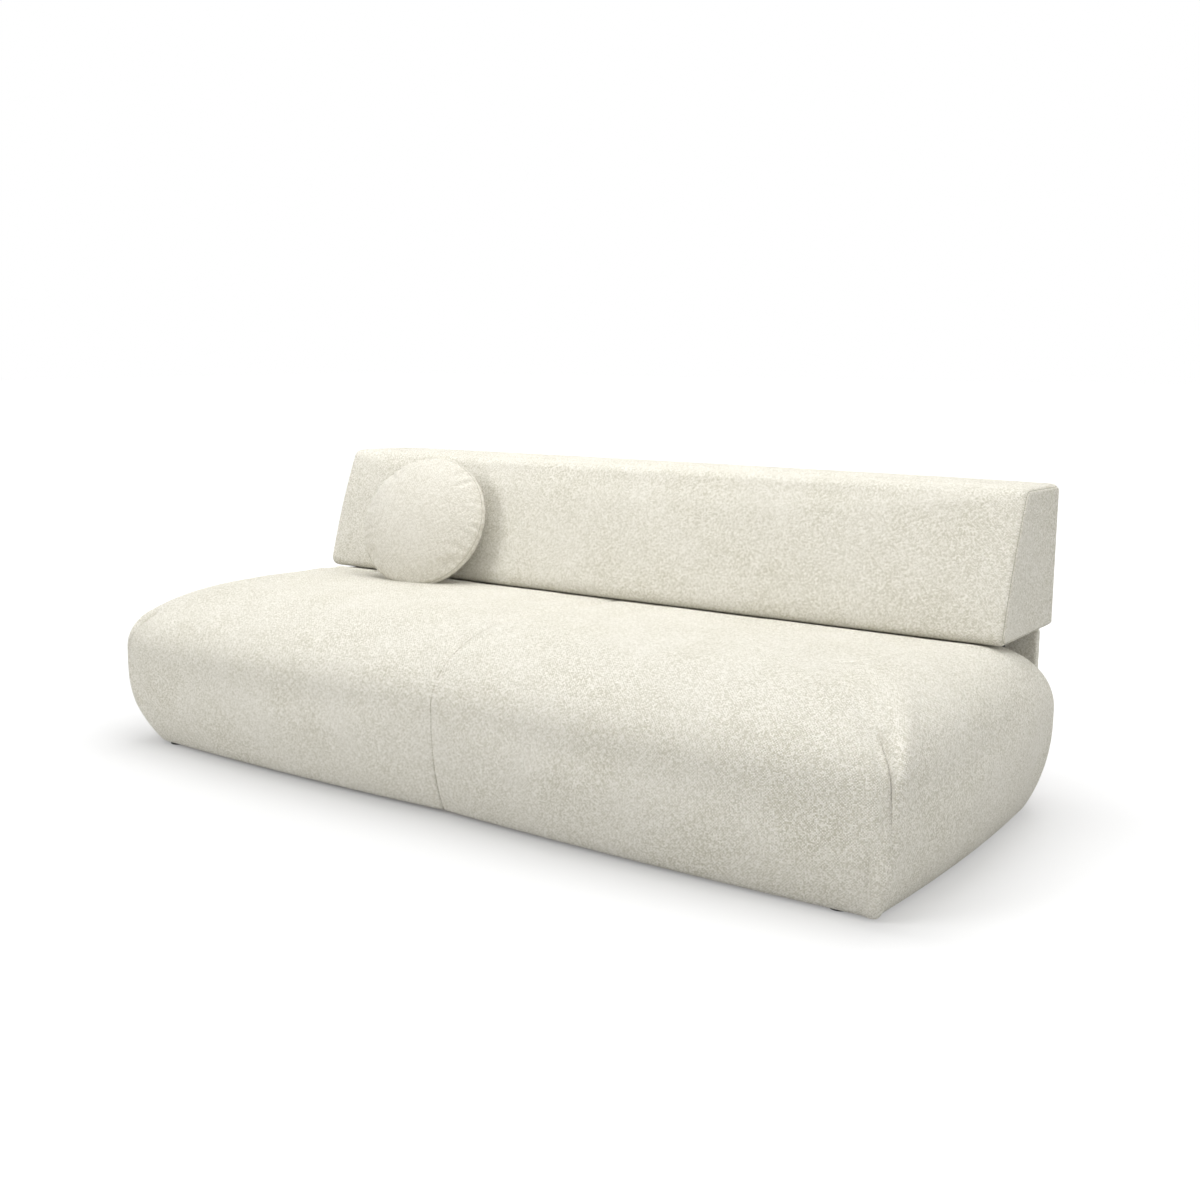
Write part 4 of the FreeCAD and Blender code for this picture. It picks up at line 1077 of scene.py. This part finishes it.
shader.inputs["Specular IOR Level"].default_value = 0.0
path = tree.nodes.new("ShaderNodeLightPath")
seen = maths(tree, "MAXIMUM", path.outputs["Is Camera Ray"], path.outputs["Is Glossy Ray"])
seen = maths(tree, "MAXIMUM", seen, path.outputs["Is Transmission Ray"])
shader.inputs["Emission Color"].default_value = (1.0, 1.0, 1.0, 1.0)
where = tree.nodes.new("ShaderNodeTexCoord")
# Painted shade: the lift dips round a point in front of the sofa, so that the floor there is darker, like a
# broad soft shadow; under the overhead lamp the dip also evens out the lit floor.
away = add(tree, "ShaderNodeVectorMath", i0=where.outputs["Object"], i1=PAINTED_SHADE_MIDDLE)
away.operation = "DISTANCE"
spread = maths(tree, "DIVIDE", away.outputs["Value"], LAMP_HEIGHT)
reach = maths(tree, "ADD", maths(tree, "POWER", spread, 2.0), 1.0)
painted_shade = maths(tree, "POWER", reach, -2.0)
lift = maths(tree, "SUBTRACT", FLOOR_LIFT, maths(tree, "MULTIPLY", painted_shade, PAINTED_SHADE_DIP))
tree.links.new(maths(tree, "MULTIPLY", seen, lift), shader.inputs["Emission Strength"])
floor.data.materials.append(floor_paint)

world = bpy.data.worlds.new("white room")
scene.world = world
world.use_nodes = True
tree = world.node_tree
path = tree.nodes.new("ShaderNodeLightPath")
seen = maths(tree, "MAXIMUM", path.outputs["Is Camera Ray"], path.outputs["Is Glossy Ray"])
seen = maths(tree, "MAXIMUM", seen, path.outputs["Is Transmission Ray"])
strength = maths(tree, "ADD", maths(tree, "MULTIPLY", seen, 1.0 - ROOM_LIGHT), ROOM_LIGHT)
tree.nodes["Background"].inputs["Color"].default_value = (1.0, 1.0, 1.0, 1.0)
tree.links.new(strength, tree.nodes["Background"].inputs["Strength"])


def soft_lamp(name, place, target, size, watts):
    """A broad rectangular lamp aimed at a point."""
    lamp = bpy.data.lights.new(name, "AREA")
    lamp.shape = "RECTANGLE"
    lamp.size, lamp.size_y = size
    lamp.energy = watts
    holder = bpy.data.objects.new(name, lamp)
    holder.location = place
    holder.rotation_euler = (Vector(target) - Vector(place)).to_track_quat("-Z", "Y").to_euler()
    scene.collection.objects.link(holder)
    return holder


soft_lamp("overhead_lamp", (-0.1, 0.35, LAMP_HEIGHT), (0.0, 0.0, 0.3), (4.0, 2.6), 107.0)
soft_lamp("front_lamp", (-3.5, -6.5, 4.0), SOFA_MIDDLE, (3.5, 3.0), 262.0)
soft_lamp("side_lamp", (8.5, -2.0, 3.5), SOFA_MIDDLE, (3.5, 3.0), 205.0)
print("studio floor and", len(bpy.data.lights), "lamps")
